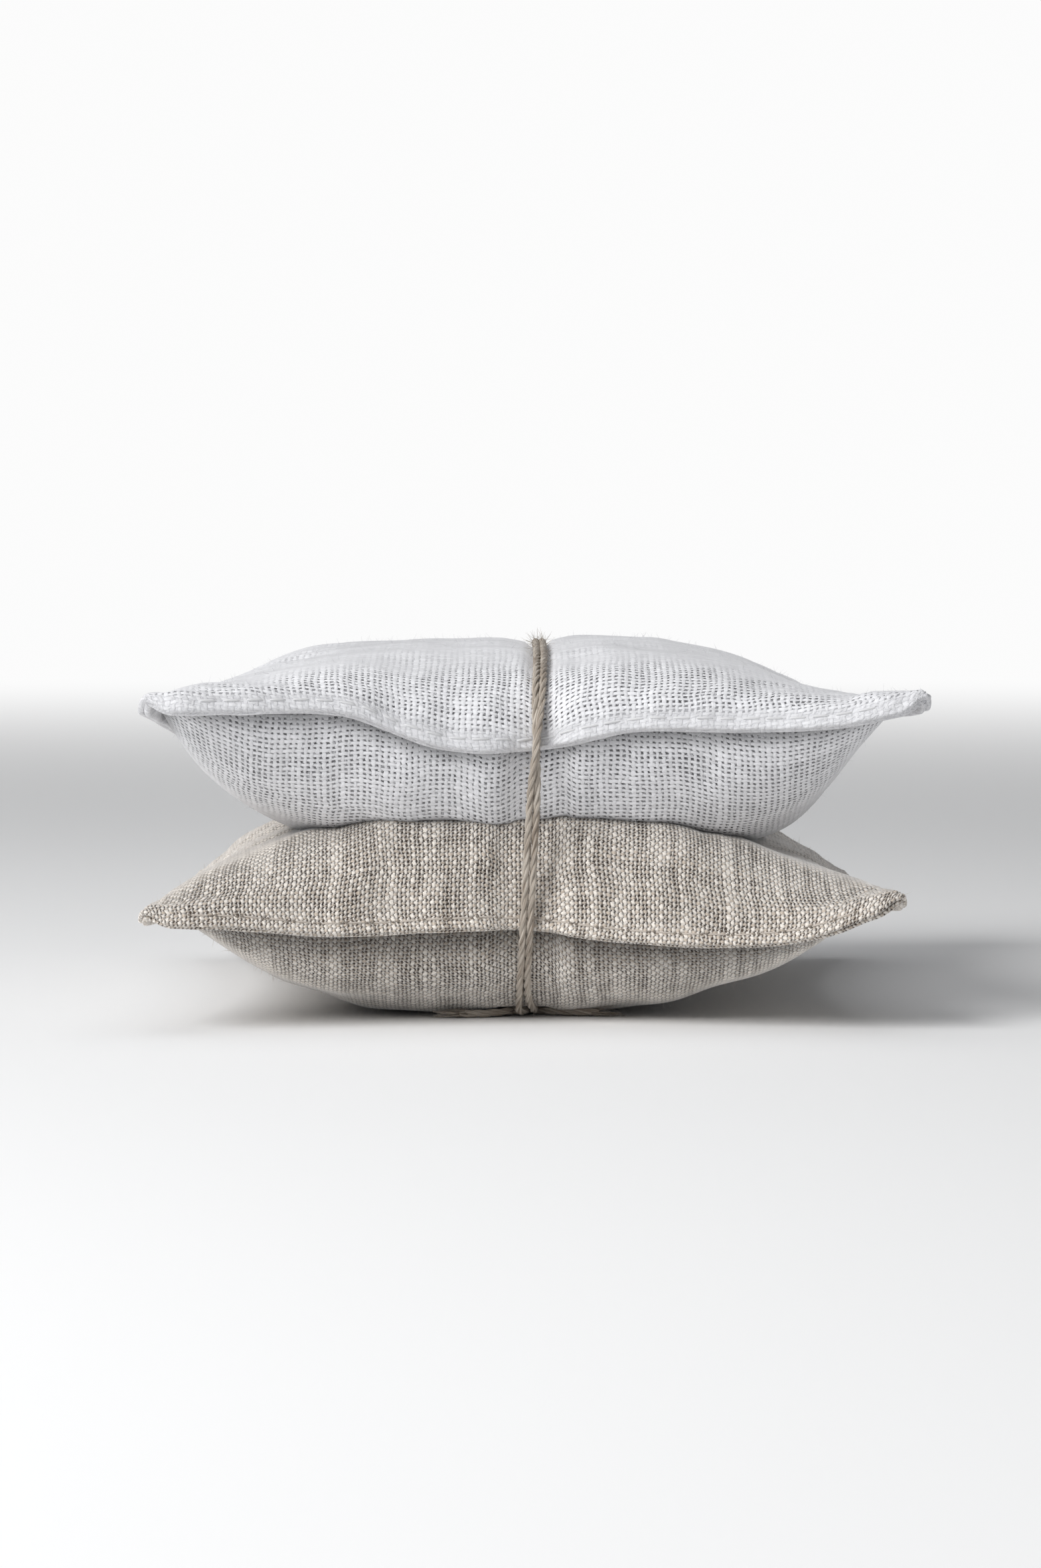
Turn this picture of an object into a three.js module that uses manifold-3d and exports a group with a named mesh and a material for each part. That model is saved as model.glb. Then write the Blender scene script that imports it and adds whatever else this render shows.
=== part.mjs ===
// Two linen lavender sachets, laid one on the other and tied with a flax twine wound twice.
// Millimetres. +Z is up, -Y is the front and +X is to the right of it. The bundle rests on z = 0.
import * as THREE from "three";
import Module from "manifold-3d";
import { mergeVertices } from "three/addons/utils/BufferGeometryUtils.js";

// Materials' own sizes
const CLOTH = 0.5; // one layer of linen
const THREAD = 0.4; // sewing thread
const TWINE = 1.0; // flax twine
const FIT = 0.3; // space between pieces that touch
const THREAD_FIT = 0.15; // space between a stitch and the cloth
const REST_FIT = 0.6; // space between the two sachets where one lies on the other

// The sewn edge
const FLANGE = 3; // flat edge outside the filled part
const STITCH_IN = 0.8; // stitched line, in from the outer edge
const DROOP = THREE.MathUtils.degToRad(40); // how far that edge hangs below level

// The sachets: side from tip to tip, thickness, and middle
const NATURAL_SIDE = 98;
const NATURAL_THICK = 27.2;
const NATURAL_X = -1.5;
const WHITE_SIDE = 100.6;
const WHITE_THICK = 22;
const WHITE_X = 0.2;
const BELLY_SAG = 5; // how far a belly would hang below what it lies on
const WHITE_SAG = 8;

// The tie
const TWINE_ASIDE_LOW = -0.2; // where the twine crosses the belly, from the sachet's middle
const TWINE_ASIDE_HIGH = 0.7; // and the crest
const STRAND_GAP = 0.5; // between the two turns
const TURNS = 2;
const LONGEST_STEP = 4; // along its straight stretches
const TWINE_SIDES = 6;
const THREAD_SIDES = 4;
const CROSS_ABOVE = 7; // where one strand passes over the other, above the lower sachet
const CROSS_REACH = 9; // half length of that crossing
const GROOVE_DEPTH = TWINE + 4 * FIT; // the belly lifts off the table by this much under the twine
const DENT = 1.3; // depth pressed into the crest
const PINCH = 2; // how far the twine draws the front and back edges in
const GROOVE_FLAT = 2.2; // half width of the groove's level bottom
const GROOVE_WIDE = 6; // half width at which it has run out

// The knot, under the front of the belly
const KNOT_IN = 18; // in from the line between the lower sachet's front corners
const KNOT_LONG = 1.5; // half length and half width of each of its two bights
const KNOT_WIDE = 1.2;
const KNOT_PAST = 0.45; // how far a bight's middle lies past the knot's middle
const KNOT_LIFT = 0.5; // rise and fall of a bight over the other
const KNOT_ROOM = 7; // reach of the hollow that the knot presses into the belly
const KNOT_HOLLOW = 5; // and how much wider than the groove it is
const KNOT_DETOUR = 1.5; // how far the passing strand goes round the knot
const LEFT_TAIL = 7;
const RIGHT_TAIL = 10;
const TAIL_BEND = 1.7; // a tail comes down to the table in two steps of this length
const TAIL_FORWARD = 1; // and goes forward by this much in each
const BIGHT_TURN = THREE.MathUtils.degToRad(144); // how far round a bight goes, each way
const BIGHT_WAVES = 1.5; // over, under and over again
const BIGHT_STEPS = 10;

const RINGS = 7; // steps of the surface from a sachet's middle to its flat edge
const SLOPE_STEP = 0.004; // step, in u and v, over which a slope is taken
const PASSES = 12; // rounds in which the place of a point is found

const { lerp, smoothstep } = THREE.MathUtils;
const bell = (distance, width) => Math.exp(-((distance / width) ** 2));

// Seam heights are above the sachet's own mid height, at even steps along each edge between two
// corners: the front and back ones go from left to right, the others from front to back.
const NATURAL = {
  side: NATURAL_SIDE,
  x: NATURAL_X,
  base: 0,
  thick: NATURAL_THICK,
  sag: BELLY_SAG,
  drawIn: { front: 5.5, back: 5.5, left: 5, right: 6 },
  corner: { frontLeft: 0.2, frontRight: 2.3, backLeft: -3.3, backRight: -3.3 },
  front: [-0.1, -0.6, 0.1, 0.6, -1.6, -2.4, -1.6],
  back: [-1.5, -1, -0.2, 0.4, -0.4, -1.2, -1.8],
  left: [-0.6, -1.2, -1.8],
  right: [0.4, -0.6, -1.6],
  topCrown: { left: 3, right: 3, deep: 5, full: 2 },
  bottomCrown: { left: 2, right: 1.5, deep: 4, full: 1.3 },
};
const WHITE = {
  side: WHITE_SIDE,
  x: WHITE_X,
  base: NATURAL_THICK,
  thick: WHITE_THICK,
  sag: WHITE_SAG,
  drawIn: { front: 5.5, back: 5.5, left: 9, right: 10 },
  corner: { frontLeft: 4.1, frontRight: 3.9, backLeft: -4.4, backRight: -3.4 },
  front: [3.6, 2.7, -1.8, -2.2, 0.3, 0.4, 1],
  back: [-2.4, -0.9, -1.4, -1.8, -0.9, -0.9, -1.9],
  left: [-5.4, -9.4, -7.5],
  right: [0.5, -1.5, -2],
  topCrown: { left: 4, right: 2.9, deep: 5, full: 2 },
  bottomCrown: { left: 2.6, right: 4.5, deep: 5, full: 1.8 },
};

const KNOT_Y = KNOT_IN - NATURAL_SIDE / 2;
const CROSS_Z = NATURAL_THICK + CROSS_ABOVE;

// The twine leans: it crosses the belly and the crest at different places.
function twineX(z) {
  const low = NATURAL_X + TWINE_ASIDE_LOW;
  const high = WHITE_X + TWINE_ASIDE_HIGH;
  return lerp(low, high, z / (NATURAL_THICK + WHITE_THICK));
}

// 1 along the twine, 0 beside it
function groove(x, z, wider = 0) {
  const beside = Math.abs(x - twineX(z));
  return 1 - smoothstep(beside, GROOVE_FLAT + wider, GROOVE_WIDE + wider);
}

// How full a panel is at a share of the way from its middle (0) to its stitched line (1)
function crown(u, v, shape) {
  const across = Math.max(0, 1 - Math.abs(u) ** (u < 0 ? shape.left : shape.right));
  const deep = Math.max(0, 1 - Math.abs(v) ** shape.deep);
  return (across * deep) ** (1 / shape.full);
}

// The surfaces midway between a sachet's panels, as functions of u and v from -1 to 1.
function sachet(spec, restsOn) {
  const half = spec.side / 2;
  const mid = spec.base + spec.thick / 2;
  const run = FLANGE * Math.cos(DROOP);
  const drop = FLANGE * Math.sin(DROOP);
  const sewn = 1 - run / half;

  function seam(from, stations, to) {
    const heights = [from, ...stations, to].map((h, i) => new THREE.Vector2(i, mid + h));
    const curve = new THREE.SplineCurve(heights);
    return (t) => curve.getPoint((t + 1) / 2).y;
  }
  const { frontLeft, frontRight, backLeft, backRight } = spec.corner;
  const front = seam(frontLeft, spec.front, frontRight);
  const back = seam(backLeft, spec.back, backRight);
  const left = seam(frontLeft, spec.left, backLeft);
  const right = seam(frontRight, spec.right, backRight);

  function plan(u, v) {
    const sideIn = u < 0 ? spec.drawIn.left : spec.drawIn.right;
    const endIn = v < 0 ? spec.drawIn.front : spec.drawIn.back;
    const x = spec.x + u * (half - sideIn * (1 - v * v));
    const pinch = PINCH * groove(x, mid) * v * v;
    return [x, v * (half - endIn * (1 - u * u) - pinch)];
  }

  // The u and v that lie at x and y
  function locate(x, y) {
    let u = 0;
    let v = 0;
    for (let pass = 0; pass < PASSES; pass += 1) {
      const [px, py] = plan(u, v);
      u = THREE.MathUtils.clamp(u + (x - px) / half, -1, 1);
      v = THREE.MathUtils.clamp(v + (y - py) / half, -1, 1);
    }
    return [u, v];
  }

  // A patch through the four edges, which hangs down outside the stitched line
  function edge(u, v) {
    const s = (u + 1) / 2;
    const t = (v + 1) / 2;
    const ends = lerp(front(u), back(u), t) + lerp(left(v), right(v), s);
    const corners = lerp(
      lerp(mid + frontLeft, mid + frontRight, s),
      lerp(mid + backLeft, mid + backRight, s),
      t,
    );
    const out = Math.max(Math.abs(u), Math.abs(v));
    const hang = Math.max(0, (out - sewn) / (1 - sewn));
    return ends - corners + drop * (1 - hang);
  }

  function top(u, v) {
    const [x, y] = plan(u, v);
    const full = crown(u / sewn, v / sewn, spec.topCrown);
    const seamZ = edge(u, v);
    const crest = spec.base + spec.thick - FIT / 2 - CLOTH;
    const dent = restsOn ? DENT * groove(x, crest) * full : 0;
    return new THREE.Vector3(x, y, lerp(seamZ, crest, full) - dent);
  }

  function bottom(u, v) {
    const [x, y] = plan(u, v);
    const full = crown(u / sewn, v / sewn, spec.bottomCrown);
    const seamZ = edge(u, v);
    const free = lerp(seamZ, spec.base + FIT / 2 + CLOTH - spec.sag, full);
    const carried = full > 0 ? (restsOn ? restsOn(x, y) : 0) + FIT / 2 + CLOTH : free;
    const hollow = KNOT_HOLLOW * bell(y - KNOT_Y, KNOT_ROOM);
    const lift = restsOn ? 0 : GROOVE_DEPTH * groove(x, spec.base, hollow) * full;
    return new THREE.Vector3(x, y, Math.max(free, carried) + lift);
  }

  // Height of the upper face over x and y, with the room that a second sachet leaves
  function carries(x, y) {
    const [u, v] = locate(x, y);
    const normal = upward(top, u, v);
    return top(u, v).z + (FIT / 2 + CLOTH) / normal.z + REST_FIT;
  }

  const inner = [];
  for (let i = -RINGS; i <= RINGS; i += 1) {
    inner.push(sewn * Math.sin((Math.PI / 2) * (i / RINGS)));
  }
  const waist = half - Math.max(spec.drawIn.left, spec.drawIn.right);
  const strip = GROOVE_FLAT / waist;
  const bank = GROOVE_WIDE / waist;
  const us = [...inner.filter((t) => t !== 0), -bank, -strip, strip, bank];
  us.sort((a, b) => a - b);
  const line = 1 - (1 - sewn) * (STITCH_IN / FLANGE);
  return { top, bottom, carries, line, strip, us, vs: inner };
}

// The upward normal of a surface, from its two slopes
function upward(surface, u, v) {
  const up = (t) => Math.min(t + SLOPE_STEP, 1);
  const down = (t) => Math.max(t - SLOPE_STEP, -1);
  const along = surface(up(u), v).sub(surface(down(u), v));
  const deep = surface(u, up(v)).sub(surface(u, down(v)));
  return along.cross(deep).normalize();
}

function offset(surface, u, v, distance) {
  return surface(u, v).addScaledVector(upward(surface, u, v), distance);
}

function solid(positions, faces) {
  const geometry = new THREE.BufferGeometry();
  geometry.setAttribute("position", new THREE.Float32BufferAttribute(positions.flat(), 3));
  geometry.setIndex(faces.flat());
  return geometry;
}

// A closed slab between two grids of points, the upper one and the lower one
function slab(upper, lower) {
  const rows = upper.length;
  const columns = upper[0].length;
  const positions = [...upper.flat(), ...lower.flat()].map((p) => [p.x, p.y, p.z]);
  const under = rows * columns;
  const at = (row, column) => row * columns + column;
  const faces = [];
  for (let r = 0; r + 1 < rows; r += 1) {
    for (let c = 0; c + 1 < columns; c += 1) {
      const corners = [at(r, c), at(r, c + 1), at(r + 1, c + 1), at(r + 1, c)];
      // Each square is folded across the way to the middle, so that the corners' tips lie flat.
      const across = r < (rows - 1) / 2 === c < (columns - 1) / 2;
      const [a, b, d, e] = across ? [...corners.slice(1), corners[0]] : corners;
      faces.push([a, b, d], [a, d, e]);
      faces.push([under + a, under + d, under + b], [under + a, under + e, under + d]);
    }
  }
  const rim = [];
  for (let c = 0; c + 1 < columns; c += 1) rim.push(at(0, c));
  for (let r = 0; r + 1 < rows; r += 1) rim.push(at(r, columns - 1));
  for (let c = columns - 1; c > 0; c -= 1) rim.push(at(rows - 1, c));
  for (let r = rows - 1; r > 0; r -= 1) rim.push(at(r, 0));
  rim.forEach((a, i) => {
    const b = rim[(i + 1) % rim.length];
    faces.push([a, under + b, b], [a, under + a, under + b]);
  });
  return solid(positions, faces);
}

const grid = (us, vs, point) => vs.map((v) => us.map((u) => point(u, v)));

// A round tube along points; it is capped, or joined to its own start
function tube(points, diameter, sides, closed) {
  const count = points.length;
  const positions = [];
  const side = new THREE.Vector3();
  points.forEach((point, i) => {
    const before = points[closed ? (i + count - 1) % count : Math.max(i - 1, 0)];
    const after = points[closed ? (i + 1) % count : Math.min(i + 1, count - 1)];
    const along = after.clone().sub(before).normalize();
    side.copy(tube.across(along)).cross(along).normalize();
    const up = along.clone().cross(side);
    for (let k = 0; k < sides; k += 1) {
      const angle = (2 * Math.PI * k) / sides;
      const p = point.clone();
      p.addScaledVector(side, (diameter / 2) * Math.cos(angle));
      p.addScaledVector(up, (diameter / 2) * Math.sin(angle));
      positions.push([p.x, p.y, p.z]);
    }
  });
  const faces = [];
  const rings = closed ? count : count - 1;
  for (let i = 0; i < rings; i += 1) {
    for (let k = 0; k < sides; k += 1) {
      const next = (k + 1) % sides;
      const [a, b] = [i * sides + k, i * sides + next];
      const far = ((i + 1) % count) * sides;
      faces.push([a, b, far + next], [a, far + next, far + k]);
    }
  }
  if (!closed) {
    const last = (count - 1) * sides;
    for (let k = 1; k + 1 < sides; k += 1) {
      faces.push([0, k + 1, k], [last, last + k, last + k + 1]);
    }
  }
  return solid(positions, faces);
}
// A tube's facets are turned from the world axis that lies most across it.
tube.across = (along) => {
  const level = Math.abs(along.z) < 0.8;
  return level ? new THREE.Vector3(0, 0, 1) : new THREE.Vector3(1, 0, 0);
};

const natural = sachet(NATURAL, null);
const white = sachet(WHITE, natural.carries);
const SKIN = FIT / 2 + CLOTH; // from the middle surface to a panel's outer face

function topPanel(body) {
  const us = [-1, ...body.us, 1];
  const vs = [-1, ...body.vs, 1];
  const outer = grid(us, vs, (u, v) => offset(body.top, u, v, SKIN));
  const inside = grid(us, vs, (u, v) => offset(body.top, u, v, FIT / 2));
  return slab(outer, inside);
}

// The belly's outer face is flat where it would reach below the table.
function bottomPoint(body, u, v, distance) {
  const point = offset(body.bottom, u, v, -distance);
  point.z = Math.max(point.z, SKIN - distance);
  return point;
}

function bottomPanel(body) {
  const us = [-1, ...body.us, 1];
  const vs = [-1, ...body.vs, 1];
  const inside = grid(us, vs, (u, v) => bottomPoint(body, u, v, FIT / 2));
  const outer = grid(us, vs, (u, v) => bottomPoint(body, u, v, SKIN));
  return slab(inside, outer);
}

// The lavender reaches to the last ring before the stitched line.
function fill(body) {
  const us = body.us.slice(1, -1);
  const vs = body.vs.slice(1, -1);
  const upper = grid(us, vs, (u, v) => offset(body.top, u, v, -FIT / 2));
  const lower = grid(us, vs, (u, v) => bottomPoint(body, u, v, -FIT / 2));
  return slab(upper, lower);
}

// A line of sewing thread along the flat edge, on the upper or the lower cloth
function seamThread(body, surface, up) {
  const { line } = body;
  const height = up * (SKIN + THREAD_FIT + THREAD / 2);
  const points = [];
  body.us.forEach((u) => points.push(offset(surface, u, -line, height)));
  body.vs.forEach((v) => points.push(offset(surface, line, v, height)));
  body.us.toReversed().forEach((u) => points.push(offset(surface, u, line, height)));
  body.vs.toReversed().forEach((v) => points.push(offset(surface, -line, v, height)));
  return tube(points, THREAD, THREAD_SIDES, true);
}

// The outermost points of the bundle in the strip that the twine lies on, seen along X
function section() {
  const points = [];
  for (const body of [natural, white]) {
    for (const v of [-1, ...body.vs, 1]) {
      for (const u of [-body.strip, body.strip]) {
        points.push(offset(body.top, u, v, SKIN), bottomPoint(body, u, v, SKIN));
      }
    }
    const stitch = SKIN + THREAD_FIT + THREAD;
    for (const v of [-body.line, body.line]) {
      points.push(offset(body.top, 0, v, stitch), offset(body.bottom, 0, v, -stitch));
    }
  }
  return points;
}

// The tight outline round points seen along X: along the underside to the front, up and back over
function tightOutline(points) {
  const sorted = points.toSorted((a, b) => a.y - b.y || a.z - b.z);
  const turnsIn = (a, b, c) => (b.y - a.y) * (c.z - a.z) - (b.z - a.z) * (c.y - a.y) <= 0;
  const chain = (list) => {
    const kept = [];
    for (const p of list) {
      while (kept.length > 1 && turnsIn(kept.at(-2), kept.at(-1), p)) kept.pop();
      kept.push(p);
    }
    return kept.slice(0, -1);
  };
  const round = [...chain(sorted), ...chain(sorted.toReversed())].reverse();
  return round.filter((p, i) => p.distanceTo(round.at(i - 1)) > TWINE / 2);
}

// One taut turn: the twine's middle, clear of that outline, with the way it faces
function tautTurn() {
  const touch = tightOutline(section());
  const outward = (a, b) => new THREE.Vector3(0, a.z - b.z, b.y - a.y).normalize();
  return touch.map((p, i) => {
    const before = outward(touch.at(i - 1), p);
    const after = outward(p, touch[(i + 1) % touch.length]);
    const out = before.clone().add(after).normalize();
    const reach = (TWINE / 2 + FIT) / out.dot(after);
    return { y: p.y + out.y * reach, z: p.z + out.z * reach, out };
  });
}

// The point under the front at which the turn is tied
function knotPlace(turn) {
  const next = turn.findIndex((p, i) => p.y < KNOT_Y && turn.at(i - 1).y >= KNOT_Y);
  const to = turn[next];
  const from = turn.at(next - 1);
  const along = new THREE.Vector3(0, to.y - from.y, to.z - from.z).normalize();
  const z = lerp(from.z, to.z, (KNOT_Y - from.y) / (to.y - from.y));
  const at = new THREE.Vector3(twineX(z) - LANE, KNOT_Y, z);
  return { at, along, out: new THREE.Vector3(0, -along.z, along.y), next };
}

const LANE = (TWINE + STRAND_GAP) / 2; // each strand's middle, from the middle of the tie
const KNOT_END = 2 * KNOT_LONG + TWINE; // from the knot's middle to the end of a strand
const turn = tautTurn();
const knot = knotPlace(turn);

// Both turns as one line, from the knot round to the knot again. The first strand starts on the
// left, passes over the second at the front, and stays on the right from there.
function winding() {
  const tied = (distance) => {
    const { y, z } = knot.at.clone().addScaledVector(knot.along, distance);
    return { y, z, out: knot.out };
  };
  const wholeTurn = [...turn.slice(knot.next), ...turn.slice(0, knot.next)];
  const clear = (p) => Math.hypot(p.y - knot.at.y, p.z - knot.at.z) > KNOT_END;
  const points = [];
  for (let i = 0; i < TURNS; i += 1) {
    const first = i === 0;
    const leaving = first ? wholeTurn.slice(wholeTurn.findIndex(clear)) : wholeTurn;
    const path = [tied(first ? KNOT_END : 0), ...leaving];
    if (!first) path.splice(path.findLastIndex(clear) + 1, Infinity, tied(-KNOT_END));
    const steps = evened(path);
    steps.forEach(({ y, z, out }, k) => {
      const climbing = k < steps.length / 2;
      const past = climbing ? smoothstep(z, CROSS_Z - CROSS_REACH, CROSS_Z + CROSS_REACH) : 1;
      const lane = first ? lerp(-LANE, LANE, past) : lerp(LANE, -LANE, past);
      const fromKnot = Math.hypot(y - knot.at.y, z - knot.at.z);
      const aside = lane > 0 ? KNOT_DETOUR * bell(fromKnot, KNOT_ROOM) : 0;
      const over = first && climbing ? bell(z - CROSS_Z, CROSS_REACH) : 0;
      const point = new THREE.Vector3(twineX(z) + lane + aside, y, z);
      points.push(point.addScaledVector(out, over * (TWINE + STRAND_GAP)));
    });
  }
  return points;
}

// Adds even steps to the long stretches of a path
function evened(path) {
  const steps = [];
  path.forEach((from, i) => {
    steps.push(from);
    const to = path[i + 1];
    if (!to) return;
    const count = Math.floor(Math.hypot(to.y - from.y, to.z - from.z) / LONGEST_STEP);
    for (let k = 1; k <= count; k += 1) {
      const share = k / (count + 1);
      const out = from.out.clone().lerp(to.out, share).normalize();
      steps.push({ y: lerp(from.y, to.y, share), z: lerp(from.z, to.z, share), out });
    }
  });
  return steps;
}

// The least gap of a tube to itself, on points along it; those within two of its own widths on
// either side, and as much again for its bends, are neighbours and don't count.
function leastGap(points, diameter) {
  const path = new THREE.CurvePath();
  points.slice(1).forEach((p, i) => path.add(new THREE.LineCurve3(points[i], p)));
  const length = path.getLength();
  const spacing = diameter / 2;
  const neighbours = (4 * diameter) / spacing;
  const spaced = path.getSpacedPoints(Math.ceil(length / spacing));
  let least = Infinity;
  for (let i = 0; i < spaced.length; i += 1) {
    for (let j = i + neighbours; j < spaced.length; j += 1) {
      least = Math.min(least, spaced[i].distanceTo(spaced[j]));
    }
  }
  return { gap: least - diameter, length };
}

// One half of the knot: a strand that turns back through the other half's bight and ends in a
// tail on the table. It belongs to the front strand (1) or the back one (-1).
function bight(front, side, tail) {
  const table = TWINE / 2 + FIT;
  const points = [];
  const place = (ahead, aside, out) => {
    const p = knot.at.clone().addScaledVector(knot.along, front * ahead);
    p.addScaledVector(knot.out, out);
    points.push(new THREE.Vector3(p.x + aside, p.y, Math.max(p.z, table)));
  };
  place(KNOT_END - TWINE / 2 - FIT, 0, 0);
  for (let i = 0; i <= BIGHT_STEPS; i += 1) {
    const angle = lerp(-BIGHT_TURN, BIGHT_TURN, i / BIGHT_STEPS);
    const ahead = KNOT_PAST - KNOT_LONG * Math.cos(angle);
    const rise = front * KNOT_LIFT * Math.cos(BIGHT_WAVES * angle);
    place(ahead, side * KNOT_WIDE * Math.sin(angle), KNOT_LIFT + rise);
  }
  const last = points.at(-1);
  [TAIL_BEND, 2 * TAIL_BEND, tail].forEach((reach, i) => {
    const z = i === 0 ? (last.z + table) / 2 : table;
    points.push(new THREE.Vector3(last.x + side * reach, last.y - (i + 1) * TAIL_FORWARD, z));
  });
  const curve = new THREE.CatmullRomCurve3(points);
  return tube(curve.getPoints(2 * points.length), TWINE, TWINE_SIDES);
}

const wasm = await Module();
wasm.setup();

function toManifold(geometry) {
  const mesh = new wasm.Mesh({
    numProp: 3,
    vertProperties: new Float32Array(geometry.attributes.position.array),
    triVerts: new Uint32Array(geometry.index.array),
  });
  return new wasm.Manifold(mesh);
}

function fused(geometries) {
  const whole = geometries.map(toManifold).reduce((a, b) => a.add(b));
  const { vertProperties, triVerts } = whole.getMesh();
  const geometry = new THREE.BufferGeometry();
  geometry.setAttribute("position", new THREE.BufferAttribute(vertProperties, 3));
  geometry.setIndex(new THREE.BufferAttribute(triVerts, 1));
  return mergeVertices(geometry);
}

const finish = (color, roughness) => new THREE.MeshStandardMaterial({ color, roughness, metalness: 0 });
const WHITE_LINEN = 0xe9e8e4;
const NATURAL_LINEN = 0xb9a184;
const WHITE_THREAD = 0xf0efec;
const NATURAL_THREAD = 0xc2ab8c;
const LAVENDER = 0x6d6479;
const FLAX = 0x8f7c64;

const group = new THREE.Group();
group.name = "lavender_sachet_bundle";
function add(name, geometry, color, roughness) {
  geometry.computeVertexNormals();
  const mesh = new THREE.Mesh(geometry, finish(color, roughness));
  mesh.name = name;
  group.add(mesh);
}

function addSachet(name, body, linen, thread) {
  add(`${name}_top_panel`, topPanel(body), linen, 0.9);
  add(`${name}_bottom_panel`, bottomPanel(body), linen, 0.9);
  add(`${name}_lavender_fill`, fill(body), LAVENDER, 0.95);
  add(`${name}_needle_thread`, seamThread(body, body.top, 1), thread, 0.8);
  add(`${name}_bobbin_thread`, seamThread(body, body.bottom, -1), thread, 0.8);
}

addSachet("natural", natural, NATURAL_LINEN, NATURAL_THREAD);
addSachet("white", white, WHITE_LINEN, WHITE_THREAD);
const line = winding();
add("twine_winding", tube(line, TWINE, TWINE_SIDES), FLAX, 0.9);
add("twine_knot", fused([bight(1, -1, LEFT_TAIL), bight(-1, 1, RIGHT_TAIL)]), FLAX, 0.9);

const { gap, length } = leastGap(line, TWINE);
console.log(`twine: least gap to itself ${gap.toFixed(2)} mm, wound length ${length.toFixed(0)} mm`);

export default group;
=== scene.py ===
"""Two linen lavender sachets, the white one lying on the natural one, tied with flax twine.

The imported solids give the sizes. This file makes what shows: woven cloth, sewn edges, lavender
inside, twisted twine, and a plain stage. Shapes are worked out in millimetres and made in metres.
"""

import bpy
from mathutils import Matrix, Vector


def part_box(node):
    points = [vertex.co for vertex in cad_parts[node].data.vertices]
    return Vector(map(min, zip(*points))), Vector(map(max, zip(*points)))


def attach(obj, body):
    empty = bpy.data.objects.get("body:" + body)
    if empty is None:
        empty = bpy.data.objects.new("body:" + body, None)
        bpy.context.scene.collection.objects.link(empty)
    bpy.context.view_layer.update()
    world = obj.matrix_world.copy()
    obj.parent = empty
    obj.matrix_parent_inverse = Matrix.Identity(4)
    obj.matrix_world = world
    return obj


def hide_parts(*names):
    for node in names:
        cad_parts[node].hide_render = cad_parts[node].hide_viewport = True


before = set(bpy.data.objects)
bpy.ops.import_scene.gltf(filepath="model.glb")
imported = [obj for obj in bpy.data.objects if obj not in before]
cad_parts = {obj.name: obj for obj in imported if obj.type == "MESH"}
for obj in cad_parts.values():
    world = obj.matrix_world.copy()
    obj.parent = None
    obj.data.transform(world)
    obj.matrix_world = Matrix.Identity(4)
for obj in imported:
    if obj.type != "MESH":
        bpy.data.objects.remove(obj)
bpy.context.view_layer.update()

import math
from functools import lru_cache

import bmesh
import bpy
import numpy as np
from mathutils import Vector

bl_info = {
    "name": "Lavender Sachet Bundle",
    "version": (1, 0, 0),
    "blender": (4, 5, 0),
    "location": "View3D > Sidebar > Sachets",
    "description": "Two stuffed linen sachets tied with flax twine",
    "category": "Object",
}

MM = 0.001
BODY = "root"
CLOTH_MAP = "OFBake"
MAP_SPAN = 140.0  # mm of cloth across the whole map
WELD = 1e-6  # m within which points become one

# The sewn edge. Lengths are in mm where nothing else is said.
FOLD = 2.7  # from the rim to the stitched line
FOLD_LINES = np.array([0.0, 0.04, 0.12, 0.25, 0.45, 0.75, 1.1, 1.5, 1.9, 2.3, 2.65])
EDGE_FADE = 0.15  # share of the fold over which the cloth becomes as thick as the edge
LINES = 92  # grid lines from the middle of a panel to its stitched line
EASE_WIDE, EASE_PASSES = 1.2, 14
ROUND, ROUND_POWER = 0.045, 17  # share of half a side that a rounded corner loses, and how late
TIP_IN = 0.7
TIP_LIFT, TIP_LONG = 0.55, 0.05  # share of the hang that a corner lacks, and over which share
CORNER_FREE = 5.0  # without stitches
CORNER_EASE = 2  # passes that even out the directions in which the cloth is thick
PANEL_GAP = 0.06
STITCH_IN, STITCH_DIMPLE, DIMPLE_WIDE = 1.5, 0.16, 0.7
STITCH_LONG, STITCH_LIFT, STITCH_AHEAD, STITCH_LEAN = 0.36, 0.02, 0.8, 0.8
LUMP_WAVES, GATHER_WAVES, TABLE_WAVES = (9, 30), (5, 12), (7, 15)
GATHER, GATHER_WIDE, GATHER_DEEP = 0.12, 4.0, 0.2
HOLE_OUT, HOLE_SHADE = 1.12, 0.6  # share of half a stitch, and share of the weft's colour in the painted shade of a needle hole

# The stuffed form
SHOULDER_AT, SHOULDER_WIDE = -0.85, 0.18  # shares of the depth
DENT = 0.3
SWELL, SWELL_X, SWELL_WIDE = 0.7, 21.0, 14.0
CLOSE = 0.3  # gap, in mm, up to which two sachets are drawn fully dark with painted shade where they lie close
# mm below the hanging edge at which its painted shade starts to fade, and mm over which that shade comes in
# near the stitched line
CREASE_SHADE_FROM, CREASE_SHADE_RAMP = 0.2, 0.4
REST_GAP, TABLE_REST, TABLE_RIPPLE, TABLE_SEED = 0.15, 0.02, 0.05, 5
LOCATE_PASSES = 14
NATURAL_SEED, WHITE_SEED, BOTTOM_SEED = 11, 23, 40  # the last is added for a lower panel

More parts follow.
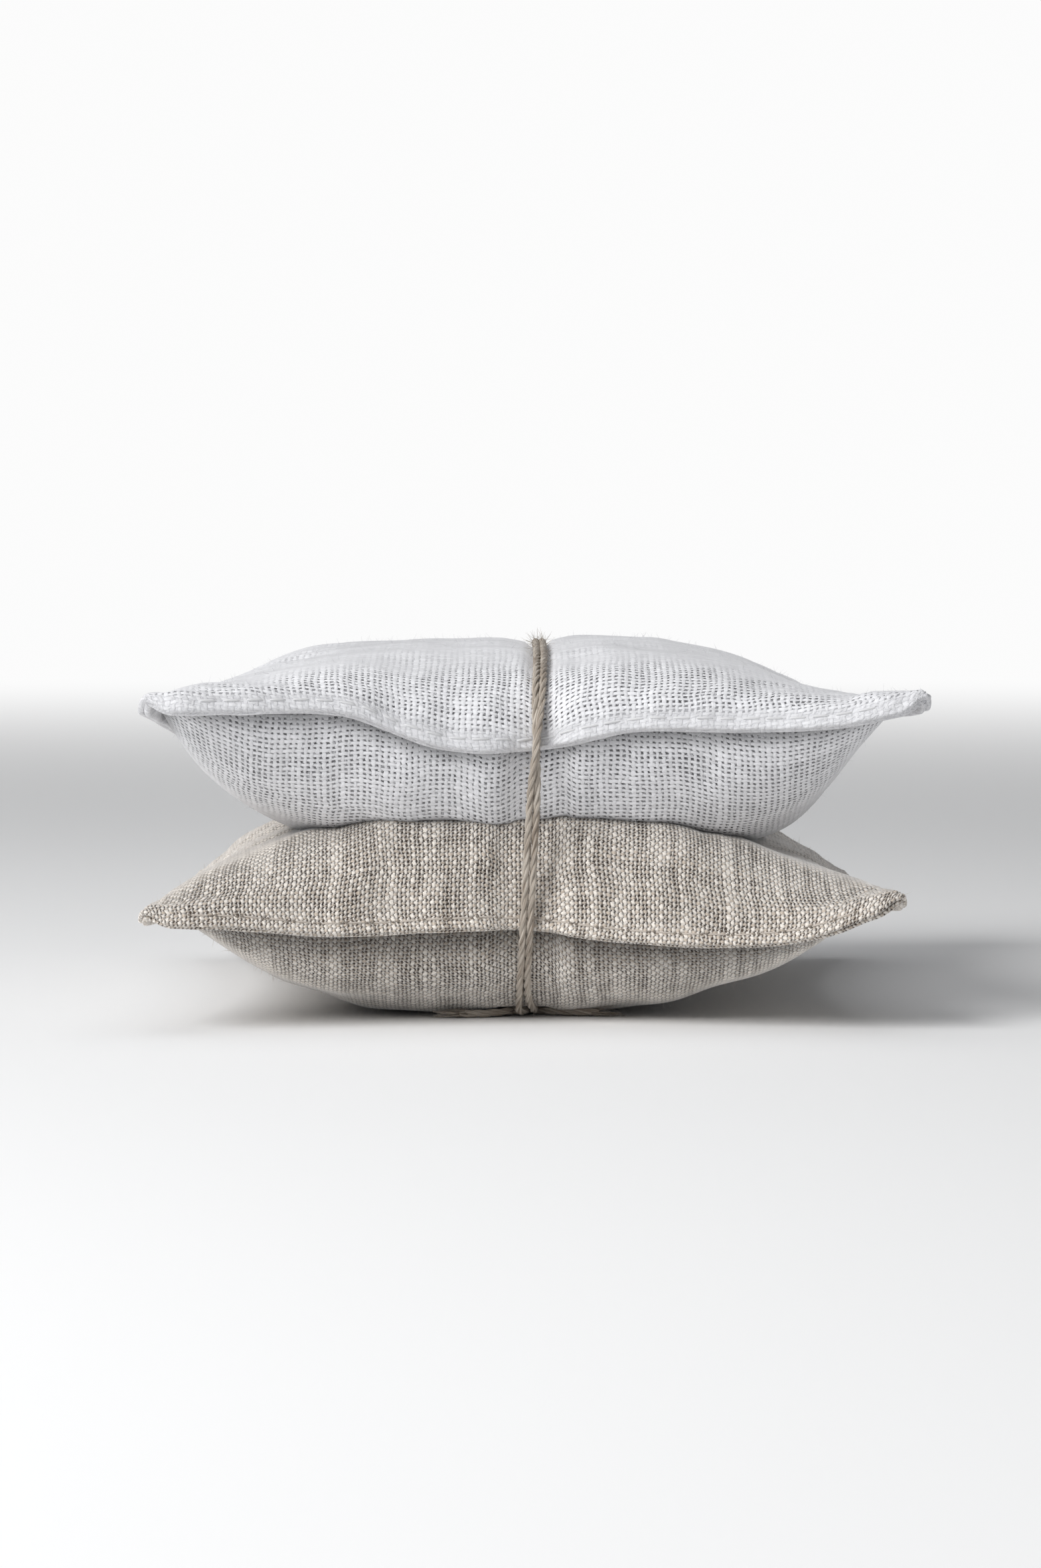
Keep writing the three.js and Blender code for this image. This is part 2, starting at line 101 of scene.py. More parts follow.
# The tie
TWINE_LOW_X, TWINE_HIGH_X = -1.7, 0.9
TWINE_STRIP = 1.6  # half the width of the strip of cloth that carries the twine
PINCH, PINCH_FLAT, PINCH_WIDE = 2.0, 2.2, 6.0
GROOVE_FLAT, GROOVE_WIDE = 1.4, 13.0
BITE, BITE_FLAT, BITE_WIDE = 1.2, 0.8, 2.6
UNDER_GROOVE, UNDER_FLAT, UNDER_WIDE = 1.3, 1.5, 4.5
UNDER_HEIGHT = 5.0  # below which a stretch of twine lies under the bundle
CROSS_Z, CROSS_REACH, CROSS_OVER, CROSS_SHORT = 36.5, 8.0, 1.7, 0.6
TWINE_REST = 0.9  # share of its radius at which the twine's middle lies off the cloth
TURN_STEP, ROUTE_STEP, BIGHT_STEP = 0.8, 0.5, 0.4
KNOT_Y, KNOT_HOLLOW, KNOT_ROOM, KNOT_ASIDE, KNOT_AHEAD = -28.0, 1.6, 5.0, 1.3, 4.0
BIGHT_LONG, BIGHT_WIDE, BIGHT_START, BIGHT_SHIFT, BIGHT_TURN = 1.5, 1.2, 3.4, 0.45, 2.5
TAIL_AHEAD = 3.0
TABLE_GAP = 0.05
FRAY, FRAY_HEIGHT = 4.0, 11.0
PLIES, PLY_SIDES = 3, 10
PLY_RADIUS, PLY_TWIST = 0.255, 0.25  # shares of the twine's diameter
PLY_GRAIN, PLY_STRAY = 0.5, 0.22  # swells of a ply per mm, and how far it strays

# The lavender
BUD_GAP = 0.15
BUD_DEPTH, BUD_ROOM, CORE_THIN = 1.9, 4.5, 0.4
CORE_STEP, CORE_REACH = 4, 0.985
BUD_DENSITY = 400000.0  # most buds per square metre, before spacing
BUD_TILT, BUD_SIZES = 0.22, (0.75, 1.05)
BUD_SEEDS = {"natural": 3, "white": 8}

# The cloth simulation of a stuffed bag, run on a larger copy
SIM_STEP = 3
SIM_SCALE = 20.0
SIM_FRAMES = 20
SIM_QUALITY = 5
SIM_PRESSURE = 4.0
SIM_SLACK = 0.03
SIM_BEND = 0.4
SIM_BLUR = 18
SIM_CAP = 0.7  # mm that no point moves beyond

# The stage, in metres and watts
FLOOR_FLAT, FLOOR_BEND, FLOOR_WALL = 1.4, 0.7, 1.3
FLOOR_SIDES, FLOOR_STEPS = 96, 12
GLOW_FROM, GLOW_TO, GLOW = 0.25, 1.2, 0.97
SKY_COLOUR, SKY_STRENGTH = (0.95, 0.97, 1.0, 1.0), 0.2
LAMPS = (  # name, place, aim, width, power
    ("key", (-0.46, -0.42, 0.49), (0, -0.05, 0.02), 0.48, 5.0),
    ("over", (-0.1, 0.05, 1.0), (0, 0, 0.03), 0.8, 1.55),
)
SENSOR = 36.0  # mm
LOOK_AT = (-1.8, -45.0, 31.8)  # mm

# Heights of the seam above the middle of each sachet, evenly spaced between its corners: front and back from
# left to right, left and right from front to back. The other values are how far the sides draw in, how full
# the panels are, and how the edge hangs, and the last is how far below the hanging edge, in mm, the painted
# shade under it has faded out.
NATURAL_FORM = {
    "draw_in": {"front": 5.5, "back": 5.5, "left": 5.0, "right": 6.0},
    "front": [0.2, -0.3, -1.4, -1.0, -0.9, -2.2, -2.8, -1.7, 2.3],
    "back": [-3.3, -1.5, -1.0, -0.2, 0.4, -0.4, -1.2, -1.8, -3.3],
    "left": [0.2, -0.6, -1.2, -1.8, -3.3],
    "right": [2.3, 0.4, -0.6, -1.6, -3.3],
    "top": {
        "left": 2.7, "right": 2.4, "round": (2.0, 1.85), "deep": 7.0, "full": 2.3, "ears": (2.6, 2.6),
    },
    "bottom": {
        "left": 2.7, "right": 1.85, "round": (1.42, 1.36), "deep": 4.0, "full": 2.2, "ears": (7.0, 7.0),
    },
    "sag": 0.6,
    "crest_in": 0.1,
    "tuck": (0.965, 0.975),
    "shoulder": 3.4,
    "droop": 60.0,
    "crease_shade": 6.5,
}
WHITE_FORM = {
    "draw_in": {"front": 5.5, "back": 5.5, "left": 5.2, "right": 10.0},
    "front": [2.8, 2.8, 2.5, -1.8, -2.2, 0.3, 0.4, 0.9, 3.1],
    "back": [-4.4, -2.4, -0.9, -1.4, -1.8, -0.9, -0.9, -1.9, -3.4],
    "left": [2.8, -2.0, -4.5, -5.0, -4.4],
    "right": [3.1, 0.3, -1.5, -2.0, -3.4],
    "top": {
        "left": 3.7, "right": 3.4, "round": (2.7, 1.1), "deep": 5.0, "full": 2.1, "ears": (2.1, 2.1),
    },
    "bottom": {
        "left": 3.2, "right": 9.0, "round": (1.9, 1.05), "deep": 5.0, "full": 2.0, "ears": (8.0, 3.0),
    },
    "sag": 6.0,
    "crest_in": 0.6,
    "tuck": (0.985, 0.975),
    "flap": 0.7,
    "droop": 68.0,
    "crease_shade": 3.2,
}

# How each weave runs, and how it takes light: the thread heights at which its painted gap shade is full and
# at which it is gone, the depth of its relief, its sheen, the least cover of its gaps, how much paler or
# darker its folded edge is drawn, how deep the painted shade under its hanging edge and where the sachets
# meet is, and how much its threads differ in tone.
NATURAL_WEAVE = {"Uneven": 1.0, "Wander": 1.6, "Lead": 0.6, "Lean": 0.25, "Taper": 0.26, "Fuzz": 0.3}
WHITE_WEAVE = {"Uneven": 0.7, "Wander": 1.2, "Lead": 0.0, "Lean": 0.1, "Taper": 0.05, "Fuzz": 0.8}
NATURAL_LIGHT = {
    "dark_at": -0.1, "pale_at": 0.9, "relief": 0.28, "sheen": 0.7, "veil": 0.5,
    "edge": 0.06, "crease_shade": -0.65, "streaks": 0.2,
}
WHITE_LIGHT = {
    "dark_at": -0.8, "pale_at": 0.9, "relief": 0.09, "sheen": 0.3, "veil": 0.1,
    "edge": -0.12, "crease_shade": -0.6, "streaks": 0.12,
}


def solid_span(*nodes):
    """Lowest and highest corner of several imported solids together, in mm."""
    boxes = [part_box(node) for node in nodes]
    low = np.min([list(box[0]) for box in boxes], axis=0) / MM
    high = np.max([list(box[1]) for box in boxes], axis=0) / MM
    return low, high


NATURAL_LOW, NATURAL_HIGH = solid_span("natural_top_panel", "natural_bottom_panel")
WHITE_LOW, WHITE_HIGH = solid_span("white_top_panel", "white_bottom_panel")


def size(name, description, millimetres):
    """A length in the sidebar, kept in metres."""
    return bpy.props.FloatProperty(
        name=name, description=description, default=millimetres * MM, precision=5, unit="LENGTH"
    )


def share(name, description, default):
    """A plain factor in the sidebar."""
    return bpy.props.FloatProperty(
        name=name, description=description, default=default, precision=3, subtype="FACTOR"
    )


def colour(name, description, default):
    """A colour in the sidebar."""
    return bpy.props.FloatVectorProperty(
        name=name, description=description, default=default, subtype="COLOR", size=3, min=0, max=1
    )


class NaturalLinen(bpy.types.PropertyGroup):
    """The lower sachet's cloth."""

    warp_pitch: size("Warp pitch", "From one upright thread to the next", 0.54)
    weft_pitch: size("Weft pitch", "From one level thread to the next", 0.57)
    warp_width: share("Warp width", "Share of the pitch that an upright thread covers", 0.96)
    weft_width: share("Weft width", "Share of the pitch that a level thread covers", 0.80)
    cloth: size("Cloth", "Thickness of the cloth", 0.38)
    edge: size("Edge", "Thickness of the folded edge of one panel", 0.7)
    stitch_pitch: size("Stitch pitch", "From one stitch to the next", 3.4)
    stitch: size("Stitch", "Thickness of the sewing thread", 0.26)
    lumps: size("Lumps", "How far the filling shows through", 0.16)
    warp_colour: colour("Warp", "Colour of the upright threads", (0.86, 0.80, 0.73))
    weft_colour: colour("Weft", "Colour of the level threads", (0.56, 0.485, 0.41))
    # painted shade: the colour that low parts of the weave are drawn in, for the shade down between the
    # threads
    gap_shade_colour: colour("Gaps", "Colour down between the threads", (0.09, 0.064, 0.047))
    thread_colour: colour("Sewing thread", "Colour of the stitches", (0.68, 0.61, 0.54))


class WhiteLinen(bpy.types.PropertyGroup):
    """The upper sachet's cloth."""

    warp_pitch: size("Warp pitch", "From one upright thread to the next", 0.81)
    weft_pitch: size("Weft pitch", "From one level thread to the next", 0.68)
    warp_width: share("Warp width", "Share of the pitch that an upright thread covers", 0.70)
    weft_width: share("Weft width", "Share of the pitch that a level thread covers", 0.68)
    cloth: size("Cloth", "Thickness of the cloth", 0.34)
    edge: size("Edge", "Thickness of the folded edge of one panel", 0.9)
    stitch_pitch: size("Stitch pitch", "From one stitch to the next", 3.0)
    stitch: size("Stitch", "Thickness of the sewing thread", 0.36)
    lumps: size("Lumps", "How far the filling shows through", 0.18)
    warp_colour: colour("Warp", "Colour of the upright threads", (0.84, 0.84, 0.86))
    weft_colour: colour("Weft", "Colour of the level threads", (0.84, 0.84, 0.86))
    # painted shade: the colour that low parts of the weave are drawn in, for the shade down between the
    # threads
    gap_shade_colour: colour("Gaps", "Colour down between the threads", (0.70, 0.70, 0.73))
    thread_colour: colour("Sewing thread", "Colour of the stitches", (0.85, 0.85, 0.86))


class FlaxTwine(bpy.types.PropertyGroup):
    """The twine of the tie."""

    diameter: size("Diameter", "Thickness of the twine", 1.0)
    lane: size("Lane", "From the middle of the tie to the middle of a strand", 0.46)
    lay: size("Lay", "Length of one whole twist", 6.0)
    left_tail: size("Left tail", "Length of the tail left of the knot", 7.0)
    right_tail: size("Right tail", "Length of the tail right of the knot", 10.0)
    light_colour: colour("Pale fibre", "Colour of the palest fibres", (0.60, 0.545, 0.475))
    dark_colour: colour("Dark fibre", "Colour of the darkest fibres", (0.30, 0.245, 0.195))


class Lavender(bpy.types.PropertyGroup):
    """The dried filling."""

    bud: size("Bud", "Length of a bud", 4.6)
    spacing: size("Spacing", "Least distance between two buds", 2.3)
    violet_colour: colour("Violet", "Colour of the tips of the buds", (0.20, 0.17, 0.26))
    husk_colour: colour("Husk", "Colour of the husks of the buds", (0.24, 0.22, 0.20))


class StudioStage(bpy.types.PropertyGroup):
    """Floor, light and camera."""

    floor_colour: colour("Floor", "Colour of the floor and backdrop", (0.96, 0.96, 0.96))
    distance: size("Distance", "From the camera to the point it looks at", 560.0)
    elevation: bpy.props.FloatProperty(
        name="Elevation", description="How far the camera looks down",
        default=math.radians(3.5), subtype="ANGLE", unit="ROTATION",
    )
    lens: bpy.props.FloatProperty(
        name="Lens", description="Focal length", default=100.3, unit="CAMERA",
    )


class BundleSettings(bpy.types.PropertyGroup):
    """Everything that can be changed in the sidebar."""

    natural: bpy.props.PointerProperty(type=NaturalLinen, name="Natural linen")
    white: bpy.props.PointerProperty(type=WhiteLinen, name="White linen")
    twine: bpy.props.PointerProperty(type=FlaxTwine, name="Twine")
    lavender: bpy.props.PointerProperty(type=Lavender, name="Lavender")
    stage: bpy.props.PointerProperty(type=StudioStage, name="Stage")


def settings():
    """The values in the sidebar."""
    return bpy.context.scene.sachet_bundle


# Shapes


def bell(distance, width):
    """1 in the middle, falling off to 0."""
    return np.exp(-((distance / width) ** 2))


def smooth(value, low, high):
    """0 up to low, 1 from high on, with a soft step between."""
    part = np.clip((value - low) / (high - low), 0, 1)
    return part * part * (3 - 2 * part)


def twine_x(z):
    """Where the leaning twine is at a height."""
    return TWINE_LOW_X + (TWINE_HIGH_X - TWINE_LOW_X) * z / WHITE_HIGH[2]


def groove(x, z, flat, wide):
    """1 along the twine, 0 beside it."""
    return 1 - smooth(np.abs(x - twine_x(z)), flat, wide)


def through(heights, t):
    """A smooth line through evenly spaced heights, t from -1 to 1."""
    heights = np.asarray(heights, float)
    last = len(heights) - 1
    place = (t + 1) / 2 * last
    i = np.clip(np.floor(place).astype(int), 0, last - 1)
    w = place - i
    before, start = heights[np.maximum(i - 1, 0)], heights[i]
    end, after = heights[i + 1], heights[np.minimum(i + 2, last)]
    leave, arrive = (end - before) / 2, (after - start) / 2
    cubic = 2 * start - 2 * end + leave + arrive
    square = -3 * start + 3 * end - 2 * leave - arrive
    return ((cubic * w + square) * w + leave) * w + start


def crown(u, v, full):
    """How full a panel is at a share of the way from its middle to its stitched line."""
    power = np.where(u < 0, full["left"], full["right"])
    across = np.maximum(0, 1 - np.abs(u) ** power)
    deep = np.maximum(0, 1 - np.abs(v) ** full["deep"])
    ears = 1 - np.minimum(np.abs(u * v), 1) ** np.where(u < 0, *full["ears"])
    rounded = np.where(u < 0, *full["round"])
    return across ** (1 / rounded) * deep ** (1 / full["full"]) * ears


class Ripple:
    """A smooth uneven height over the plane, from seeded waves in all directions."""

    def __init__(self, seed, shortest, longest, count=30):
        draw = np.random.default_rng(seed)
        angle = draw.uniform(0, 2 * math.pi, count)
        length = np.exp(draw.uniform(math.log(shortest), math.log(longest), count))
        self.kx = 2 * math.pi * np.cos(angle) / length
        self.ky = 2 * math.pi * np.sin(angle) / length
        self.phase = draw.uniform(0, 2 * math.pi, count)

    def __call__(self, x, y):
        total = np.zeros(np.broadcast(x, y).shape)
        for kx, ky, phase in zip(self.kx, self.ky, self.phase):
            total += np.sin(kx * x + ky * y + phase)
        return total * math.sqrt(2 / len(self.kx))


def normals(points):
    """The upward normals of a grid of points, rows from front to back."""
    along = np.gradient(points, axis=1)
    deep = np.gradient(points, axis=0)
    normal = np.cross(along, deep)
    return normal / np.maximum(np.linalg.norm(normal, axis=2, keepdims=True), 1e-12)


def unit(vectors):
    """Vectors at length 1."""
    return vectors / np.linalg.norm(vectors, axis=-1, keepdims=True)


def run_lengths(points):
    """Length along a line up to each of its points."""
    return np.concatenate([[0], np.cumsum(np.linalg.norm(np.diff(points, axis=0), axis=1))])


def arc_lengths(points):
    """Lengths along the rows and along the columns of a grid, from its middle lines."""
    middle = points.shape[0] // 2
    across = np.zeros(points.shape[:2])
    across[:, 1:] = np.cumsum(np.linalg.norm(np.diff(points, axis=1), axis=2), axis=1)
    deep = np.zeros(points.shape[:2])
    deep[1:] = np.cumsum(np.linalg.norm(np.diff(points, axis=0), axis=2), axis=0)
    return across - across[:, middle : middle + 1], deep - deep[middle : middle + 1]


class Sachet:
    """One sachet's two panels on a fine grid over u, left to right, and v, front to back."""

    def __init__(self, form, low, high, base, looks, seed, lower=None):
        self.form, self.looks, self.seed, self.lower = form, looks, seed, lower
        self.tip = (high[0] - low[0]) / 2 - TIP_IN
        self.half = self.tip / (1 - ROUND)
        self.centre = (high[0] + low[0]) / 2
        self.base = base
        self.cloth = looks.cloth / MM
        self.edge = looks.edge / MM
        self.crest = high[2] - self.cloth - form["crest_in"]
        self.middle = (base + high[2]) / 2
        self.droop = math.radians(form["droop"])
        run = FOLD * math.cos(self.droop)
        self.sewn = 1 - run / self.half
        inner = self.sewn * np.sin(math.pi / 2 * np.linspace(-1, 1, 2 * LINES + 1))
        fold = 1 - (1 - self.sewn) * FOLD_LINES / FOLD
        self.lines = np.concatenate([-fold, inner, fold[::-1]])
        self.u, self.v = np.meshgrid(self.lines, self.lines)
        self.inside = np.minimum(1 - np.abs(self.u), 1 - np.abs(self.v)) / (1 - self.sewn) * FOLD
        self.fold = 1 - smooth(self.inside, FOLD * (1 - EDGE_FADE), FOLD * (1 + EDGE_FADE))
        self.top_middle = self.eased(self.top(self.u, self.v))
        self.bottom_middle = self.eased(self.bottom(self.u, self.v))
        self.stuff()
        self.top_outer, self.top_inner = self.slab(self.top_middle, 1)
        self.bottom_outer, self.bottom_inner = self.slab(self.bottom_middle, -1)
        self.settle()

    def plan(self, u, v):
        """Where u and v lie, seen from above: drawn in along the sides, rounded at the corners."""
        form, more = self.form["draw_in"], self.half - self.tip
        side_in = np.where(u < 0, form["left"], form["right"]) + more
        end_in = np.where(v < 0, form["front"], form["back"]) + more
        cut = self.half * ROUND
        x = self.centre + u * (self.half - side_in * (1 - v * v) - cut * np.abs(v) ** ROUND_POWER)
        if "flap" in self.form:
            hang = np.clip((-u - self.sewn) / (1 - self.sewn), 0, 1)
            x = x + self.form["flap"] * FOLD * math.cos(self.droop) * hang * (1 - np.abs(v) ** 4)
        pinch = PINCH * groove(x, self.middle, PINCH_FLAT, PINCH_WIDE) * v * v
        y = v * (self.half - end_in * (1 - u * u) - cut * np.abs(u) ** ROUND_POWER - pinch)
        return x, y

    def seam(self, u, v):
        """Height of a patch through the four edges, which hangs down outside the stitches."""
        form = self.form
        s, t = (u + 1) / 2, (v + 1) / 2
        ends = through(form["front"], u) * (1 - t) + through(form["back"], u) * t
        ends = ends + through(form["left"], v) * (1 - s) + through(form["right"], v) * s
        front, back = form["front"], form["back"]
        near, far = (line[0] * (1 - s) + line[-1] * s for line in (front, back))
        corners = near * (1 - t) + far * t
        out = np.maximum(np.abs(u), np.abs(v))
        hang = np.maximum(0, (out - self.sewn) / (1 - self.sewn))
        at_tip = smooth(np.minimum(np.abs(u), np.abs(v)), self.sewn - TIP_LONG, 1)
        hang = hang * (1 - TIP_LIFT * at_tip)
        return self.middle + ends - corners + FOLD * math.sin(self.droop) * (1 - hang)

    def top(self, u, v):
        """The crown, which the twine dents on the upper sachet."""
        x, y = self.plan(u, v)
        full = crown(u / self.sewn, v / self.sewn, self.form["top"])
        seam = self.seam(u, v)
        dent = 0
        if self.lower:
            dent = DENT * groove(x, self.crest, GROOVE_FLAT, GROOVE_WIDE) * full
            dent = dent - SWELL * bell(x - SWELL_X, SWELL_WIDE) * full
            dent = dent + BITE * groove(x, self.crest, BITE_FLAT, BITE_WIDE) * full
        shoulder = self.form.get("shoulder", 0) * bell(v - SHOULDER_AT, SHOULDER_WIDE)
        bulge = shoulder * (1 - np.abs(u) ** 4) * full
        return np.stack([x, y, seam + (self.crest - seam) * full - dent + bulge], axis=-1)

    def bottom(self, u, v):
        """The belly, before it rests on anything."""
        x, y = self.plan(u, v)
        reach = [self.sewn * part for part in self.form["tuck"]]
        full = crown(u / reach[0], v / reach[1], self.form["bottom"])
        seam = self.seam(u, v)
        z = seam + (self.base - self.form["sag"] - seam) * full
        return np.stack([x, y, z], axis=-1)

    def eased(self, points):
        """Rounds the bend where a panel leaves its sewn edge."""
        near = bell((np.abs(self.lines) - self.sewn) / (1 - self.sewn) * FOLD, EASE_WIDE)
        weight = np.maximum(near[None, :], near[:, None])[..., None] * 0.5
        for _ in range(EASE_PASSES):
            spread = points.copy()
            spread[:, 1:-1] += weight[:, 1:-1] * ((points[:, :-2] + points[:, 2:]) / 2 - points[:, 1:-1])
            points = spread.copy()
            points[1:-1] += weight[1:-1] * ((spread[:-2] + spread[2:]) / 2 - spread[1:-1])
        return points

    def stuff(self):
        """Moves both panels as a cloth simulation of the stuffed bag moves a coarse copy of them."""
        inner = np.flatnonzero(np.abs(self.lines) <= self.sewn + 1e-9)
        picked = np.unique(np.append(inner[::SIM_STEP], inner[-1]))
        cut = np.ix_(picked, picked)
        panels = [self.top_middle[cut], self.bottom_middle[cut]]
        moved = stuffed_bag(panels)
        near = self.lines[picked]
        u, v = (np.clip(place, -self.sewn, self.sewn) for place in (self.u, self.v))
        for middle, was, now in zip((self.top_middle, self.bottom_middle), panels, moved):
            shift = now - was
            shift = shift - broad(shift, SIM_BLUR)
            far = np.linalg.norm(shift, axis=2, keepdims=True)
            shift = shift * SIM_CAP / (SIM_CAP + far)
            shift = np.stack([sampled(near, shift[..., k], u, v) for k in range(3)], axis=-1)
            free = 1 - groove(middle[..., 0], middle[..., 2], BITE_WIDE, 2 * BITE_WIDE)
            free = free * smooth(self.inside, FOLD, FOLD * 2)
            middle += shift * free[..., None]

    def relief(self, points, seed):
        """How far the filling, the stitches and the gathered edge raise the cloth."""
        x, y = points[..., 0], points[..., 1]
        across, deep = arc_lengths(points)
        along = np.where(np.abs(self.v) > np.abs(self.u), across, deep)
        inward = smooth(self.inside, FOLD, FOLD * 4)
        lumps = Ripple(seed, *LUMP_WAVES)(x, y) * self.looks.lumps / MM * inward
        gathers = Ripple(seed + 1, *GATHER_WAVES)(along, self.inside * GATHER_DEEP) * GATHER
        gathers = gathers * bell(self.inside - FOLD, GATHER_WIDE)
        pitch = self.looks.stitch_pitch / MM
        dimple = STITCH_DIMPLE * (0.55 + 0.45 * np.cos(2 * math.pi * along / pitch))
        dimple = dimple * bell(self.inside - STITCH_IN, DIMPLE_WIDE)
        return lumps + gathers - dimple

    def slab(self, middle, up):
        """Outer and inner face of a panel, thicker at the folded edge and rounded there."""
        relief = self.relief(middle, self.seed + (0 if up > 0 else BOTTOM_SEED))
        normal = unit(broad(normals(middle), CORNER_EASE)) * up
        half = (self.cloth * (1 - self.fold) + self.edge * self.fold) / 2
        round_off = self.edge / 2
        rim = np.sqrt(1 - (1 - np.minimum(self.inside / round_off, 1)) ** 2)
        lift = PANEL_GAP + half + relief
        outer = middle + normal * (lift + half * rim)[..., None]
        inner = middle + normal * (lift - half * rim)[..., None]
        return outer, inner

    def settle(self):
        """Rests the lower panel on what carries it, with the groove that the twine lies in."""
        x, y = self.bottom_outer[..., 0], self.bottom_outer[..., 1]
        full = smooth(self.inside, FOLD, FOLD * 2)
        if self.lower:
            floor = self.lower.height(x, y) + REST_GAP
        else:
            hollow = KNOT_HOLLOW * bell(y - KNOT_Y, KNOT_ROOM)
            lane = 1 - smooth(np.abs(x - twine_x(0)), UNDER_FLAT + hollow, UNDER_WIDE + hollow)
            uneven = TABLE_RIPPLE * (1 + Ripple(TABLE_SEED, *TABLE_WAVES)(x, y))
            floor = UNDER_GROOVE * lane * full + TABLE_REST + uneven
        lift = np.maximum(0, floor - self.bottom_outer[..., 2]) * np.where(self.inside > FOLD, 1, full)
        self.bottom_outer[..., 2] += lift
        self.bottom_inner[..., 2] += lift

    def crease_shade(self, across, deep):
        """Painted shade under the hanging edge: 1 just below the stitched line, where the hanging edge covers
        the belly, 0 on the open belly.
        """
        first, last = (np.argmin(np.abs(self.lines - place)) for place in (-self.sewn, self.sewn))
        half = len(self.lines) // 2
        ends = np.concatenate([np.full(half, first), np.full(len(self.lines) - half, last)])
        from_end = np.abs(deep[ends]) - np.abs(deep)
        from_side = np.abs(across[:, ends]) - np.abs(across)
        below = np.minimum(from_end, from_side) - FOLD * math.sin(self.droop)
        fades = smooth(below, CREASE_SHADE_FROM, self.form["crease_shade"])
        return smooth(below, -FOLD, CREASE_SHADE_RAMP - FOLD) * (1 - fades)

    def contact_shade(self, up, other):
        """Painted shade where the sachets meet: 1 where the other sachet lies close to a panel, 0 where there
        is air between them.
        """
        outer = self.top_outer if up > 0 else self.bottom_outer
        facing = other.bottom_outer if up > 0 else other.top_outer
        u, v = other.locate(outer[..., 0], outer[..., 1])
        gap = (sampled(other.lines, facing[..., 2], u, v) - outer[..., 2]) * up
        return 1 - smooth(gap, CLOSE, 4 * CLOSE)

    def locate(self, x, y):
        """The u and v that lie at x and y."""
        u, v = np.zeros_like(x), np.zeros_like(y)
        for _ in range(LOCATE_PASSES):
            at_x, at_y = self.plan(u, v)
            u = np.clip(u + (x - at_x) / self.half, -1, 1)
            v = np.clip(v + (y - at_y) / self.half, -1, 1)
        return u, v

    def height(self, x, y):
        """Height of the upper face over x and y."""
        u, v = self.locate(x, y)
        return sampled(self.lines, self.top_outer[..., 2], u, v)

    def edge_line(self, outer, inward):
        """Four runs of points along the edge, some way in from it."""
        place = 1 - (1 - self.sewn) * inward / FOLD
        ends = np.abs(self.lines) <= place
        t = self.lines[ends]
        fixed = np.full_like(t, place)
        runs = [(t, -fixed), (fixed, t), (t, fixed), (-fixed, t)]
        return [
            np.stack([sampled(self.lines, outer[..., k], u, v) for k in range(3)], axis=-1) for u, v in runs
        ]


def broad(values, passes):
    """The wide swells of a grid, without its small folds."""
    for _ in range(passes):
        for axis in (0, 1):
            edge = [(1, 1) if k == axis else (0, 0) for k in range(values.ndim)]
            wide = np.pad(values, edge, mode="edge")
            values = (np.delete(wide, (0, 1), axis) + values + np.delete(wide, (-1, -2), axis)) / 3
    return values


def stuffed_bag(panels):
    """Both panels, sewn at their edge, after a short cloth simulation with the filling's pressure."""
    rows, columns = panels[0].shape[:2]
    count = rows * columns
    points = np.concatenate([panel.reshape(-1, 3) for panel in panels])
    index = np.arange(count).reshape(rows, columns)
    rim = np.concatenate([index[0], index[-1], index[1:-1, 0], index[1:-1, -1]])
    rank = np.arange(2 * count)
    rank[rim + count] = rim
    faces = rank[slab_faces(rows, columns, 1)]
    bag = add_mesh("bag", points * SIM_SCALE, faces.tolist())
    pins = bag.vertex_groups.new(name="sewn")
    pins.add(rim.tolist(), 1.0, "REPLACE")
    cloth = bag.modifiers.new("cloth", "CLOTH")
    cloth.settings.quality = SIM_QUALITY
    cloth.settings.vertex_group_mass = pins.name
    cloth.settings.use_pressure = True
    cloth.settings.uniform_pressure_force = SIM_PRESSURE
    cloth.settings.shrink_min = -SIM_SLACK
    cloth.settings.bending_stiffness = SIM_BEND
    cloth.settings.effector_weights.gravity = 0.0
    cloth.collision_settings.use_collision = False
    cloth.point_cache.frame_start, cloth.point_cache.frame_end = 1, SIM_FRAMES
    scene = bpy.context.scene
    for number in range(1, SIM_FRAMES + 1):
        scene.frame_set(number)
    graph = bpy.context.evaluated_depsgraph_get()
    result = spots_of(bag.evaluated_get(graph).to_mesh()).astype(float) / SIM_SCALE / MM
    scene.frame_set(1)
    bpy.data.objects.remove(bag)
    result = result[rank]
    return [result[:count].reshape(panels[0].shape), result[count:].reshape(panels[1].shape)]


def sampled(lines, values, u, v):
    """Values of a grid between its lines."""
    i = np.clip(np.searchsorted(lines, u) - 1, 0, len(lines) - 2)
    j = np.clip(np.searchsorted(lines, v) - 1, 0, len(lines) - 2)
    p = (u - lines[i]) / (lines[i + 1] - lines[i])
    q = (v - lines[j]) / (lines[j + 1] - lines[j])
    near = values[j, i] * (1 - p) + values[j, i + 1] * p
    far = values[j + 1, i] * (1 - p) + values[j + 1, i + 1] * p
    return near * (1 - q) + far * q


@lru_cache(maxsize=None)
def natural_sachet():
    """The lower sachet, on the table."""
    return Sachet(NATURAL_FORM, NATURAL_LOW, NATURAL_HIGH, 0.0, settings().natural, NATURAL_SEED)


@lru_cache(maxsize=None)
def white_sachet():
    """The upper sachet, on the lower one."""
    base, looks = NATURAL_HIGH[2], settings().white
    return Sachet(WHITE_FORM, WHITE_LOW, WHITE_HIGH, base, looks, WHITE_SEED, natural_sachet())


# Meshes


